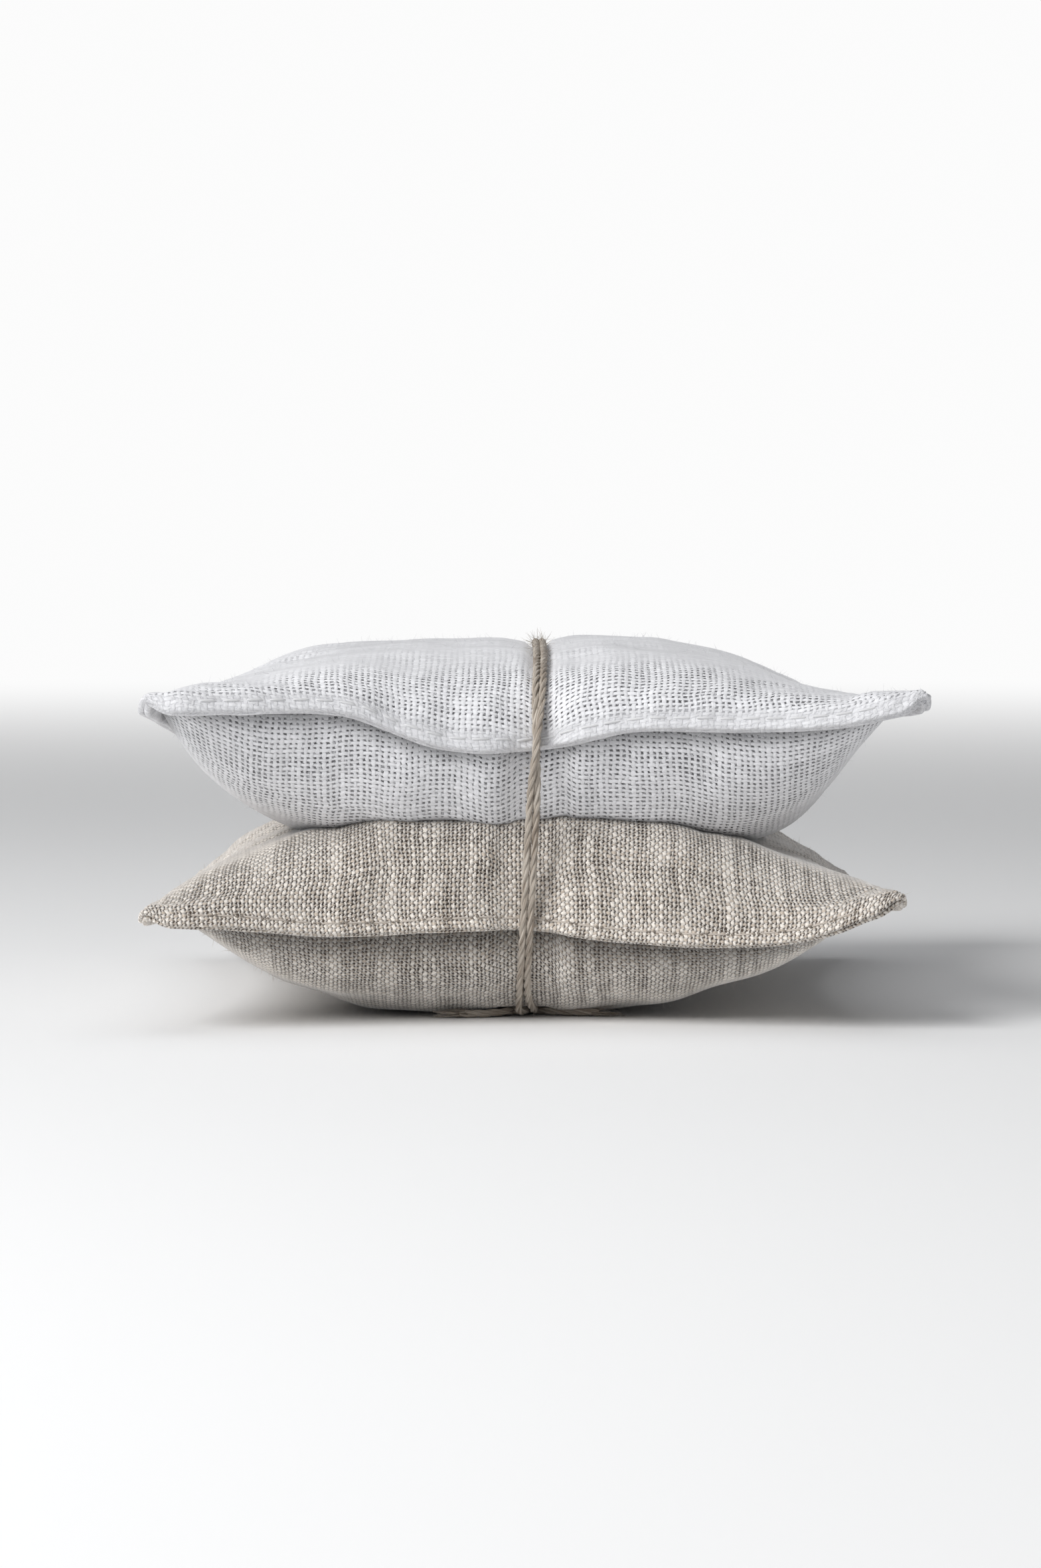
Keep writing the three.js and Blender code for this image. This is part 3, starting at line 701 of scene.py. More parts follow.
def grid_faces(rows, columns, turned):
    """Squares of a grid; turned ones face down."""
    index = np.arange(rows * columns).reshape(rows, columns)
    a, b, c, d = index[:-1, :-1], index[:-1, 1:], index[1:, 1:], index[1:, :-1]
    order = (a, d, c, b) if turned else (a, b, c, d)
    return np.stack(order, axis=-1).reshape(-1, 4)


def slab_faces(rows, columns, up):
    """Squares of two grids, the first facing up or down and the second the other way."""
    return np.concatenate([
        grid_faces(rows, columns, up < 0), grid_faces(rows, columns, up > 0) + rows * columns
    ])


def ring_faces(count, sides):
    """Squares between rings of points."""
    faces = []
    for ring in range(count - 1):
        for k in range(sides):
            a, b = ring * sides + k, ring * sides + (k + 1) % sides
            faces.append((a, a + sides, b + sides, b))
    return faces


def add_mesh(name, points, faces, edges=()):
    """A new smooth object from points in mm."""
    mesh = bpy.data.meshes.new(name)
    mesh.from_pydata((np.asarray(points, float).reshape(-1, 3) * MM).tolist(), list(edges), faces)
    mesh.update()
    mesh.shade_smooth()
    piece = bpy.data.objects.new(name, mesh)
    bpy.context.scene.collection.objects.link(piece)
    return piece


def spots_of(mesh):
    """The places of a mesh's points in metres."""
    spots = np.empty(len(mesh.vertices) * 3, np.float32)
    mesh.vertices.foreach_get("co", spots)
    return spots.reshape(-1, 3)


def weld(mesh):
    """Joins points that lie at one place."""
    work = bmesh.new()
    work.from_mesh(mesh)
    bmesh.ops.remove_doubles(work, verts=work.verts, dist=WELD)
    work.to_mesh(mesh)
    work.free()


def cloth_panel(name, sachet, up, other):
    """A closed slab of cloth with its own map, in which threads keep an even distance."""
    outer = sachet.top_outer if up > 0 else sachet.bottom_outer
    inner = sachet.top_inner if up > 0 else sachet.bottom_inner
    rows, columns = outer.shape[:2]
    faces = slab_faces(rows, columns, up)
    piece = add_mesh(name, np.concatenate([outer.reshape(-1, 3), inner.reshape(-1, 3)]), faces.tolist())
    mesh = piece.data
    across, deep = arc_lengths(outer)
    place = np.stack([across, deep], axis=-1).reshape(-1, 2) / MAP_SPAN + 0.5
    place = np.concatenate([place, place])
    layer = mesh.uv_layers.new(name=CLOTH_MAP)
    layer.data.foreach_set("uv", place[faces.reshape(-1)].reshape(-1).astype(np.float32))
    # painted shade under the hanging edge, on lower panels only
    crease_shade = sachet.crease_shade(across, deep) if up < 0 else np.zeros_like(across)
    # painted shade where the two sachets lie close: on the natural top panel and the white bottom panel
    if (up > 0) == (sachet.lower is None):
        crease_shade = np.maximum(crease_shade, sachet.contact_shade(up, other))
    for label, mask in (("fold", sachet.fold), ("crease_shade", crease_shade)):
        layer = mesh.attributes.new(label, "FLOAT", "POINT")
        layer.data.foreach_set("value", np.tile(mask.reshape(-1), 2).astype(np.float32))
    weld(mesh)
    mesh.shade_smooth()
    return piece, (np.ptp(across[rows // 2]) * MM, np.ptp(deep[:, columns // 2]) * MM)


def finish_piece(piece, slot, *nodes):
    """Every piece rides on the one body and stands for the solids that it hides."""
    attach(piece, BODY)
    if nodes:
        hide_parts(*nodes)


# Node trees


NOISE_SPAN = (0.2, 0.8)  # between which most of a noise field lies


class Sketch:
    """Adds nodes to a tree; a value may be a number, a tuple or another node's output."""

    def __init__(self, tree):
        self.tree = tree

    def feed(self, socket, value):
        if isinstance(value, bpy.types.NodeSocket):
            self.tree.links.new(value, socket)
        else:
            socket.default_value = value

    def node(self, kind, inputs=None, **choices):
        made = self.tree.nodes.new(kind)
        for key, value in choices.items():
            setattr(made, key, value)
        for name, value in (inputs or {}).items():
            socket = next(s for s in made.inputs if s.name == name and s.enabled)
            self.feed(socket, value)
        return made

    def row(self, made, values):
        """Feeds a node's sockets in their order and gives its first output."""
        for socket, value in zip(made.inputs, values):
            self.feed(socket, value)
        return made.outputs[0]

    def math(self, operation, *values):
        return self.row(self.node("ShaderNodeMath", operation=operation), values)

    def vectors(self, operation, *values):
        return self.row(self.node("ShaderNodeVectorMath", operation=operation), values)

    def scaled(self, vector, factor):
        inputs = {"Vector": vector, "Scale": factor}
        return self.node("ShaderNodeVectorMath", inputs, operation="SCALE").outputs[0]

    def between(self, value, low, high, to_low=0.0, to_high=1.0, easing="SMOOTHSTEP"):
        made = self.node("ShaderNodeMapRange", interpolation_type=easing)
        return self.row(made, (value, low, high, to_low, to_high))

    def middled(self, value):
        """A value from 0 to 1, moved to lie about zero."""
        return self.math("SUBTRACT", value, 0.5)

    def swung(self, base, value, weight):
        """A base that a value from 0 to 1 moves up and down."""
        return self.math("MULTIPLY_ADD", self.middled(value), weight, base)

    def mix(self, factor, first, second, blend="MIX"):
        made = self.node("ShaderNodeMix", data_type="RGBA", blend_type=blend)
        for name, value in (("Factor", factor), ("A", first), ("B", second)):
            socket = next(s for s in made.inputs if s.name == name and s.enabled)
            plain = isinstance(value, (bpy.types.NodeSocket, float))
            self.feed(socket, value if plain else (*value, 1.0))
        return next(s for s in made.outputs if s.enabled)

    def vector(self, x, y, z=0.0):
        return self.node("ShaderNodeCombineXYZ", {"X": x, "Y": y, "Z": z}).outputs[0]

    def noise(self, vector, scale, detail=2.0, output="Fac"):
        inputs = {"Vector": vector, "Scale": scale, "Detail": detail}
        return self.node("ShaderNodeTexNoise", inputs).outputs[output]

    def chance(self, dimensions, **inputs):
        made = self.node("ShaderNodeTexWhiteNoise", inputs, noise_dimensions=dimensions)
        return made.outputs["Value"]

    def attribute(self, name):
        return self.node("ShaderNodeAttribute", attribute_name=name).outputs["Fac"]

    def place(self):
        return self.node("ShaderNodeTexCoord").outputs["Object"]

    def roughen(self, shader, field, least, most):
        """Roughness that follows a field of noise."""
        self.feed(shader["Roughness"], self.between(field, *NOISE_SPAN, least, most))

    def raise_surface(self, shader, strength, depth, height):
        """Bump of a depth in mm."""
        inputs = {"Strength": strength, "Distance": depth * MM, "Height": height}
        self.feed(shader["Normal"], self.node("ShaderNodeBump", inputs).outputs[0])

    def stored(self, geometry, name, value, domain="POINT"):
        inputs = {"Geometry": geometry, "Name": name, "Value": value}
        made = self.node("GeometryNodeStoreNamedAttribute", inputs, data_type="FLOAT", domain=domain)
        return made.outputs[0]

    def instances(self, points, shape, rotation, **more):
        """A copy of an object on every point."""
        inputs = {"Object": shape, "As Instance": True}
        shape = self.node("GeometryNodeObjectInfo", inputs).outputs["Geometry"]
        inputs = {"Points": points, "Instance": shape, "Rotation": rotation, **more}
        return self.node("GeometryNodeInstanceOnPoints", inputs).outputs[0]


def new_tree(name, kind, inputs, outputs):
    """A node group with named sockets, and its ends."""
    tree = bpy.data.node_groups.new(name, kind)
    for sockets, way in ((inputs, "INPUT"), (outputs, "OUTPUT")):
        for label, socket_type in sockets:
            tree.interface.new_socket(name=label, in_out=way, socket_type=socket_type)
    start = tree.nodes.new("NodeGroupInput")
    end = tree.nodes.new("NodeGroupOutput")
    return Sketch(tree), start.outputs, end.inputs


FLOAT, VECTOR, INTEGER = "NodeSocketFloat", "NodeSocketVector", "NodeSocketInt"
GEOMETRY, OBJECT, MATERIAL = "NodeSocketGeometry", "NodeSocketObject", "NodeSocketMaterial"

# The weave. Fields of noise have a scale per mm and a detail.
DRIFT, JOLT, CROWD, STRAY = (0.09, 2.0), (1.6, 1.0), (0.16, 2.0), (2.3, 2.0)
JOLT_WEIGHT = 0.55
SWAY_APART, SWAY_SLOW, SWAY_WEIGHT = 3.7, 0.16, 0.25
SLUB_APART, SLUB_SLOW, SLUB_TONE = 7.3, 0.11, 0.8
SWELL_THREAD, SWELL_SLUB, SWELL_BEAD, SWELL_CROWD = 0.55, 0.9, 0.3, 0.9
THREAD_EDGE = (0.86, 1.04)  # shares of a thread's half width between which it ends
RISE, BULGE, SUNK = 0.45, 0.75, 0.8  # heights, in half pitches
FIBRE_LONG, FIBRE_ROUND, FIBRE_GRAIN, FIBRE_RELIEF = 2.2, 6.0, 0.9, 0.35
ON_TOP = 0.06  # lead at which one thread wholly hides the other
FOLD_CLOSED = 0.9
HAZE = (0.42, 0.72)
WARP_SALT, WEFT_SALT = 11.0, 47.0


@lru_cache(maxsize=None)
def linen_weave():
    """Plain weave of uneven flax threads on a map in mm."""
    labels = (
        "Warp Pitch", "Weft Pitch", "Warp Width", "Weft Width", "Uneven", "Wander", "Lead", "Lean",
        "Taper", "Fuzz", "Fold",
    )
    inputs = [("Map", VECTOR)] + [(label, FLOAT) for label in labels]
    outputs = [(label, FLOAT) for label in ("Height", "Cover", "Warp", "Tone", "Bead", "Fibre")]
    sketch, given, result = new_tree("linen_weave", "ShaderNodeTree", inputs, outputs)
    run, swung = sketch.math, sketch.swung

    def apart(scale, detail):
        """Two uneven fields about zero."""
        field = sketch.noise(given["Map"], scale, detail, "Color")
        parts = sketch.node("ShaderNodeSeparateColor", {"Color": field}).outputs
        return sketch.middled(parts["Red"]), sketch.middled(parts["Green"])

    split = sketch.node("ShaderNodeSeparateXYZ", {"Vector": given["Map"]}).outputs
    drift, jolt, crowd = apart(*DRIFT), apart(*JOLT), apart(*CROWD)
    grid = []
    for k, (axis, pitch) in enumerate((("X", "Warp Pitch"), ("Y", "Weft Pitch"))):
        moved = run("DIVIDE", split[axis], given[pitch])
        moved = run("MULTIPLY_ADD", drift[k], given["Wander"], moved)
        grid.append(run("MULTIPLY_ADD", run("MULTIPLY", jolt[k], given["Uneven"]), JOLT_WEIGHT, moved))
    s, t = grid
    lean = run("MULTIPLY", sketch.middled(run("FRACT", t)), given["Lean"])

    def strand(across, along, width, salt, shift, crowded):
        """Height, cover, tone, bead and fibre of the threads of one direction."""
        sway = sketch.vector(
            run("MULTIPLY", run("FLOOR", across), SWAY_APART), run("MULTIPLY", along, SWAY_SLOW), salt
        )
        sway = sketch.middled(sketch.noise(sway, 1.0, 1.0))
        across = run("MULTIPLY_ADD", run("MULTIPLY", sway, given["Uneven"]), SWAY_WEIGHT, across)
        index = run("FLOOR", across)
        phase = run("MULTIPLY", run("ADD", run("ADD", along, shift), index), 0.5)
        over = run("COSINE", run("MULTIPLY", phase, 2 * math.pi))
        cell = sketch.vector(index, run("FLOOR", run("ADD", phase, 0.5)), salt)
        bead = sketch.chance("3D", Vector=cell)
        chance = sketch.chance("1D", W=run("ADD", index, salt))
        slub = sketch.vector(
            run("MULTIPLY", index, SLUB_APART), run("MULTIPLY", along, SLUB_SLOW), salt + 0.5
        )
        slub = sketch.noise(slub, 1.0, 2.0)
        swell = run("MULTIPLY", sketch.middled(chance), SWELL_THREAD)
        swell = swung(swung(swell, slub, SWELL_SLUB), bead, SWELL_BEAD)
        swell = run("MULTIPLY_ADD", crowded, SWELL_CROWD, swell)
        swollen = run("MULTIPLY", width, run("MULTIPLY_ADD", swell, given["Uneven"], 1.0))
        narrow = run("MULTIPLY", run("SUBTRACT", 1.0, over), given["Taper"])
        swollen = run("MULTIPLY", swollen, run("SUBTRACT", 1.0, narrow))
        offset = sketch.middled(run("SUBTRACT", across, index))
        reach = run("DIVIDE", run("MULTIPLY", run("ABSOLUTE", offset), 2.0), swollen)
        bulge = run("SUBTRACT", 1.0, run("MULTIPLY", reach, reach))
        bulge = run("SQRT", run("MAXIMUM", bulge, 0.0))
        inside = sketch.between(reach, *THREAD_EDGE, 1.0, 0.0)
        tone = swung(chance, slub, SLUB_TONE)
        raised = run("MULTIPLY_ADD", over, RISE, run("MULTIPLY", bulge, BULGE))
        level = run("SUBTRACT", run("MULTIPLY", run("ADD", raised, SUNK), inside), SUNK)
        twist = run("MULTIPLY_ADD", along, FIBRE_LONG, run("MULTIPLY", across, FIBRE_ROUND))
        fibre = sketch.vector(twist, run("MULTIPLY", along, FIBRE_GRAIN), salt)
        return level, inside, tone, bead, sketch.noise(fibre, 1.0, 3.0)

    warp = strand(run("ADD", s, lean), t, given["Warp Width"], WARP_SALT, -0.5, crowd[0])
    weft = strand(t, s, given["Weft Width"], WEFT_SALT, 0.5, crowd[1])
    ahead = run("ADD", run("SUBTRACT", warp[0], weft[0]), given["Lead"])
    on_top = sketch.between(ahead, -ON_TOP, ON_TOP)
    tone, bead, fibre = (
        run("MULTIPLY_ADD", run("SUBTRACT", a, b), on_top, b) for a, b in zip(warp[2:], weft[2:])
    )
    height = run("MAXIMUM", run("ADD", warp[0], given["Lead"]), weft[0])
    height = swung(height, fibre, FIBRE_RELIEF)
    closed = run("MAXIMUM", height, run("MULTIPLY_ADD", given["Fold"], FOLD_CLOSED, -1.0))
    haze = sketch.between(sketch.noise(given["Map"], *STRAY), *HAZE)
    haze = run("MULTIPLY", haze, given["Fuzz"])
    cover = run("MAXIMUM", run("MAXIMUM", warp[1], weft[1]), run("MAXIMUM", given["Fold"], haze))
    ends = {"Height": closed, "Cover": cover, "Warp": on_top, "Tone": tone, "Bead": bead, "Fibre": fibre}
    for label, value in ends.items():
        sketch.feed(result[label], value)
    return sketch.tree


def blank_material(name):
    """A material with only a surface shader."""
    material = bpy.data.materials.new(name)
    material.use_nodes = True
    tree = material.node_tree
    tree.nodes.clear()
    sketch = Sketch(tree)
    shader = sketch.node("ShaderNodeBsdfPrincipled")
    out = sketch.node("ShaderNodeOutputMaterial")
    tree.links.new(shader.outputs[0], out.inputs["Surface"])
    return material, sketch, shader.inputs


BEAD_TONE, FIBRE_TONE, PATCH_TONE = 0.16, 0.5, 0.4
PATCHES = (0.05, 3.0)
ASLANT, ASLANT_PALE = (0.5, 0.92), 0.85  # where cloth seen aslant closes, and how much of the thread colour it shows there in place of the painted gap shade


def linen_material(name, looks, weave_values, light):
    """Woven linen: threads over gaps drawn dark as painted shade, with painted shade under the hanging edge
    and where the sachets meet; paler and closed where it is seen aslant.
    """
    material, sketch, shader = blank_material(name)
    run = sketch.math
    place = sketch.node("ShaderNodeUVMap", uv_map=CLOTH_MAP).outputs[0]
    on_cloth = sketch.scaled(place, MAP_SPAN)
    fold, crease_shade = sketch.attribute("fold"), sketch.attribute("crease_shade")
    weave = sketch.node("ShaderNodeGroup", node_tree=linen_weave())
    values = {
        "Map": on_cloth, "Warp Pitch": looks.warp_pitch / MM, "Weft Pitch": looks.weft_pitch / MM,
        "Warp Width": looks.warp_width, "Weft Width": looks.weft_width, "Fold": fold, **weave_values,
    }
    for label, value in values.items():
        sketch.feed(weave.inputs[label], value)
    weave = weave.outputs
    thread = sketch.mix(weave["Warp"], looks.weft_colour, looks.warp_colour)
    tone_and_shade = 1.0
    for field, weight in (
        (weave["Tone"], light["streaks"]), (weave["Bead"], BEAD_TONE), (weave["Fibre"], FIBRE_TONE),
        (sketch.noise(on_cloth, *PATCHES), PATCH_TONE),
    ):
        tone_and_shade = sketch.swung(tone_and_shade, field, weight * weave_values["Uneven"])
    tone_and_shade = run("MULTIPLY_ADD", fold, light["edge"], tone_and_shade)
    # painted shade under the hanging edge and where the sachets meet darkens the thread colour
    tone_and_shade = run("MULTIPLY", tone_and_shade, run("MULTIPLY_ADD", crease_shade, light["crease_shade"], 1.0))
    grey = sketch.node("ShaderNodeCombineColor", {k: tone_and_shade for k in ("Red", "Green", "Blue")}).outputs[0]
    thread = sketch.mix(1.0, thread, grey, "MULTIPLY")
    facing = sketch.node("ShaderNodeLayerWeight", {"Blend": 0.5}).outputs["Facing"]
    aslant = sketch.between(facing, *ASLANT)
    # painted shade: low parts of the weave go to the gap colour, high parts keep the thread colour
    lit = sketch.between(weave["Height"], light["dark_at"], light["pale_at"], easing="LINEAR")
    lit = run("MAXIMUM", lit, run("MULTIPLY", aslant, ASLANT_PALE))
    sketch.feed(shader["Base Color"], sketch.mix(lit, looks.gap_shade_colour, thread))
    sketch.roughen(shader, weave["Fibre"], 0.78, 0.95)
    sketch.feed(shader["Alpha"], run("MAXIMUM", run("MAXIMUM", weave["Cover"], light["veil"]), aslant))
    shader["Sheen Weight"].default_value = light["sheen"]
    shader["Sheen Roughness"].default_value = 0.4
    shader["Specular IOR Level"].default_value = 0.25
    sketch.raise_surface(shader, run("SUBTRACT", 1.0, aslant), light["relief"], weave["Height"])
    return material


def fibre_material(name, light, dark, along_scale, around_scale):
    """Streaky flax: long fibres that run with the thread."""
    material, sketch, shader = blank_material(name)
    run = sketch.math
    along = sketch.attribute("along")
    turn = run("MULTIPLY", sketch.attribute("around"), 2 * math.pi)
    circle = [run("MULTIPLY", run(way, turn), around_scale) for way in ("COSINE", "SINE")]
    streaks = sketch.noise(sketch.vector(*circle, run("MULTIPLY", along, along_scale)), 1.0, 5.0)
    patch = sketch.noise(sketch.vector(0.0, 0.0, run("MULTIPLY", along, along_scale * 0.35)), 1.0, 2.0)
    blend = sketch.swung(streaks, patch, 0.5)
    sketch.feed(shader["Base Color"], sketch.mix(sketch.between(blend, 0.32, 0.68), dark, light))
    sketch.roughen(shader, streaks, 0.7, 0.95)
    shader["Sheen Weight"].default_value = 0.15
    shader["Specular IOR Level"].default_value = 0.3
    sketch.raise_surface(shader, 0.7, 0.12, streaks)
    return material


def lavender_material(looks):
    """Dry buds between husk and violet, each with its own tone."""
    material, sketch, shader = blank_material("dried_lavender")
    grain = sketch.noise(sketch.place(), 900.0, 3.0)
    blend = sketch.between(sketch.swung(sketch.attribute("tone"), grain, 0.9), 0.1, 0.9)
    sketch.feed(shader["Base Color"], sketch.mix(blend, looks.husk_colour, looks.violet_colour))
    sketch.roughen(shader, grain, 0.75, 0.95)
    sketch.raise_surface(shader, 0.5, 0.2, grain)
    return material


def fuzz_material(name, light, dark):
    """Stray fibres, each with its own tone."""
    material, sketch, shader = blank_material(name)
    grain = sketch.noise(sketch.place(), 1500.0, 2.0)
    blend = sketch.swung(sketch.attribute("tone"), grain, 0.5)
    sketch.feed(shader["Base Color"], sketch.mix(blend, dark, light))
    sketch.roughen(shader, grain, 0.6, 0.9)
    return material


# Geometry trees


def grown(name, base, tree, values):
    """Runs a geometry tree on a base and keeps the result as a plain mesh."""
    modifier = base.modifiers.new(tree.name, "NODES")
    modifier.node_group = tree
    for item in tree.interface.items_tree:
        if item.in_out == "INPUT" and item.name in values:
            modifier[item.identifier] = values[item.name]
    graph = bpy.context.evaluated_depsgraph_get()
    mesh = bpy.data.meshes.new_from_object(
        base.evaluated_get(graph), preserve_all_data_layers=True, depsgraph=graph
    )
    base.modifiers.remove(modifier)
    bpy.data.objects.remove(base)
    if not mesh.polygons:
        raise RuntimeError(f"{name}: the geometry tree made no faces")
    mesh.name = name
    piece = bpy.data.objects.new(name, mesh)
    bpy.context.scene.collection.objects.link(piece)
    return piece


def geometry_tree(name, inputs):
    """A geometry tree with a base, further inputs and a material."""
    inputs = [("Geometry", GEOMETRY), *inputs, ("Material", MATERIAL)]
    return new_tree(name, "GeometryNodeTree", inputs, [("Geometry", GEOMETRY)])


def ended(sketch, geometry, material, result):
    """Realize Instances and Set Material close every tree."""
    whole = sketch.node("GeometryNodeRealizeInstances", {"Geometry": geometry}).outputs[0]
    smooth_faces = sketch.node("GeometryNodeSetShadeSmooth", {"Geometry": whole}).outputs[0]
    painted = sketch.node("GeometryNodeSetMaterial", {"Geometry": smooth_faces, "Material": material})
    sketch.feed(result["Geometry"], painted.outputs[0])
    return sketch.tree


@lru_cache(maxsize=None)
def stitch_tree():
    """One stitch on every point, along the seam."""
    sketch, given, result = geometry_tree("stitch_row", [("Stitch", OBJECT)])
    axes = {}
    for axis, label in (("Primary Axis", "facing"), ("Secondary Axis", "heading")):
        named = sketch.node("GeometryNodeInputNamedAttribute", {"Name": label}, data_type="FLOAT_VECTOR")
        axes[axis] = named.outputs[0]
    turned = sketch.node("FunctionNodeAxesToRotation", axes, primary_axis="Z", secondary_axis="X")
    placed = sketch.instances(given["Geometry"], given["Stitch"], turned.outputs[0])
    return ended(sketch, placed, given["Material"], result)


@lru_cache(maxsize=None)
def scatter_tree():
    """Small shapes strewn over a surface, lying down, each with its own tone and size."""
    numbers = ("Least Tilt", "Most Tilt", "Least Size", "Most Size")
    sketch, given, result = geometry_tree("strewn", [
        ("Shape", OBJECT), ("Spacing", FLOAT), ("Density", FLOAT), ("Seed", INTEGER),
        *((label, FLOAT) for label in numbers),
    ])
    places = {
        "Mesh": given["Geometry"], "Distance Min": given["Spacing"], "Density Max": given["Density"],
        "Seed": given["Seed"],
    }
    strewn = sketch.node("GeometryNodeDistributePointsOnFaces", places, distribute_method="POISSON").outputs

    def drawn(low, high, salt):
        inputs = {"Min": low, "Max": high, "Seed": salt}
        made = sketch.node("FunctionNodeRandomValue", inputs, data_type="FLOAT")
        return next(s for s in made.outputs if s.enabled)

    turned = strewn["Rotation"]
    spin = sketch.vector(0.0, 0.0, drawn(0.0, 2 * math.pi, 1))
    tilt = sketch.vector(0.0, drawn(given["Least Tilt"], given["Most Tilt"], 2), 0.0)
    for angles in (spin, tilt):
        turn = sketch.node("FunctionNodeEulerToRotation", {"Euler": angles}).outputs[0]
        inputs = {"Rotation": turned, "Rotate By": turn}
        turned = sketch.node("FunctionNodeRotateRotation", inputs, rotation_space="LOCAL").outputs[0]
    grown_to = drawn(given["Least Size"], given["Most Size"], 3)
    placed = sketch.instances(strewn["Points"], given["Shape"], turned, Scale=grown_to)
    toned = sketch.stored(placed, "tone", drawn(0.0, 1.0, 4), "INSTANCE")
    return ended(sketch, toned, given["Material"], result)


@lru_cache(maxsize=None)
def twisted_tree():
    """Uneven plies wound round each other along a line."""
    numbers = [(label, FLOAT) for label in ("Ply Radius", "Twist Radius", "Lay")]
    sketch, given, result = geometry_tree("twisted_plies", [*numbers, ("Sides", INTEGER)])
    run = sketch.math
    place = sketch.node("GeometryNodeSplineParameter").outputs
    line = sketch.node("GeometryNodeMeshToCurve", {"Mesh": given["Geometry"]}).outputs[0]
    line = sketch.stored(line, "along", place["Length"])
    ring = {"Resolution": given["Sides"], "Radius": given["Ply Radius"]}
    ring = sketch.node("GeometryNodeCurvePrimitiveCircle", ring).outputs[0]
    ring = sketch.stored(ring, "around", place["Factor"])
    normal = sketch.node("GeometryNodeInputNormal").outputs[0]
    side = sketch.vectors("CROSS_PRODUCT", sketch.node("GeometryNodeInputTangent").outputs[0], normal)
    joined = sketch.node("GeometryNodeJoinGeometry")
    for ply in range(PLIES):
        angle = run("DIVIDE", run("MULTIPLY", place["Length"], 2 * math.pi), given["Lay"])
        angle = run("ADD", angle, 2 * math.pi * ply / PLIES)
        aside = sketch.vectors("ADD", *(
            sketch.scaled(axis, run("MULTIPLY", run(way, angle), given["Twist Radius"]))
            for way, axis in (("COSINE", normal), ("SINE", side))
        ))
        spot = sketch.vector(run("MULTIPLY", place["Length"], PLY_GRAIN / MM), 5.1 * ply)
        stray = sketch.vectors("SUBTRACT", sketch.noise(spot, 1.0, 2.0, "Color"), (0.5, 0.5, 0.5))
        off = sketch.vectors("ADD", aside, sketch.scaled(stray, PLY_STRAY * MM))
        wound = sketch.node("GeometryNodeSetPosition", {"Geometry": line, "Offset": off}).outputs[0]
        thick = sketch.between(sketch.noise(spot, 1.7, 2.0), 0.3, 0.7, 0.75, 1.25)
        wound = sketch.node("GeometryNodeSetCurveRadius", {"Curve": wound, "Radius": thick}).outputs[0]
        tube = {"Curve": wound, "Profile Curve": ring, "Fill Caps": True}
        tube = sketch.node("GeometryNodeCurveToMesh", tube).outputs[0]
        sketch.tree.links.new(tube, joined.inputs[0])
    return ended(sketch, joined.outputs[0], given["Material"], result)


# Small shapes and lines


def turned_shape(name, profile, sides, bend=0.0):
    """A small closed shape along X from radii along it, in mm."""
    points = []
    for along, radius in profile:
        for k in range(sides):
            angle = 2 * math.pi * k / sides
            points.append((along, radius * math.cos(angle), radius * math.sin(angle) + bend * along * along))
    last = len(points) - sides
    caps = [tuple(range(sides)), tuple(last + sides - 1 - k for k in range(sides))]
    return add_mesh(name, points, ring_faces(len(profile), sides) + caps)


def evenly(points, step):
    """Points at even steps along a line."""
    lengths = run_lengths(points)
    count = max(2, int(round(lengths[-1] / step)) + 1)
    wanted = np.linspace(0, lengths[-1], count)
    return np.stack([np.interp(wanted, lengths, points[:, k]) for k in range(points.shape[1])], axis=1)


def softened(points, passes):
    """Rounds the bends of a line; its ends stay."""
    for _ in range(passes):
        points = points.copy()
        points[1:-1] += 0.5 * ((points[:-2] + points[2:]) / 2 - points[1:-1])
    return points


def tight_outline(points):
    """The hull of points seen along X, as y and z, from the underside to the front, up and over."""
    ordered = sorted({(round(y, 3), round(z, 3)) for y, z in points})

    def chain(line):
        kept = []
        for p in line:
            while len(kept) > 1:
                (ay, az), (by, bz) = kept[-2], kept[-1]
                if (by - ay) * (p[1] - az) - (bz - az) * (p[0] - ay) > 0:
                    break
                kept.pop()
            kept.append(p)
        return kept[:-1]

    hull = chain(ordered) + chain(ordered[::-1])
    return np.array(hull[::-1])


def taut_turn(radius):
    """One closed turn of y, z and the way it faces, touching the bundle."""
    strip = []
    for sachet in (natural_sachet(), white_sachet()):
        for outer in (sachet.top_outer, sachet.bottom_outer):
            flat = outer.reshape(-1, 3)
            near = np.abs(flat[:, 0] - twine_x(flat[:, 2])) < TWINE_STRIP
            strip.append(flat[near][:, 1:])
    hull = tight_outline(np.concatenate(strip))
    hull = evenly(np.concatenate([hull, hull[:1]]), TURN_STEP)[:-1]
    along = unit(np.roll(hull, -2, axis=0) - np.roll(hull, 2, axis=0))
    out = np.stack([-along[:, 1], along[:, 0]], axis=1)
    if np.mean(np.sum(out * (hull - hull.mean(axis=0)), axis=1)) < 0:
        out = -out
    return hull + out * radius, out


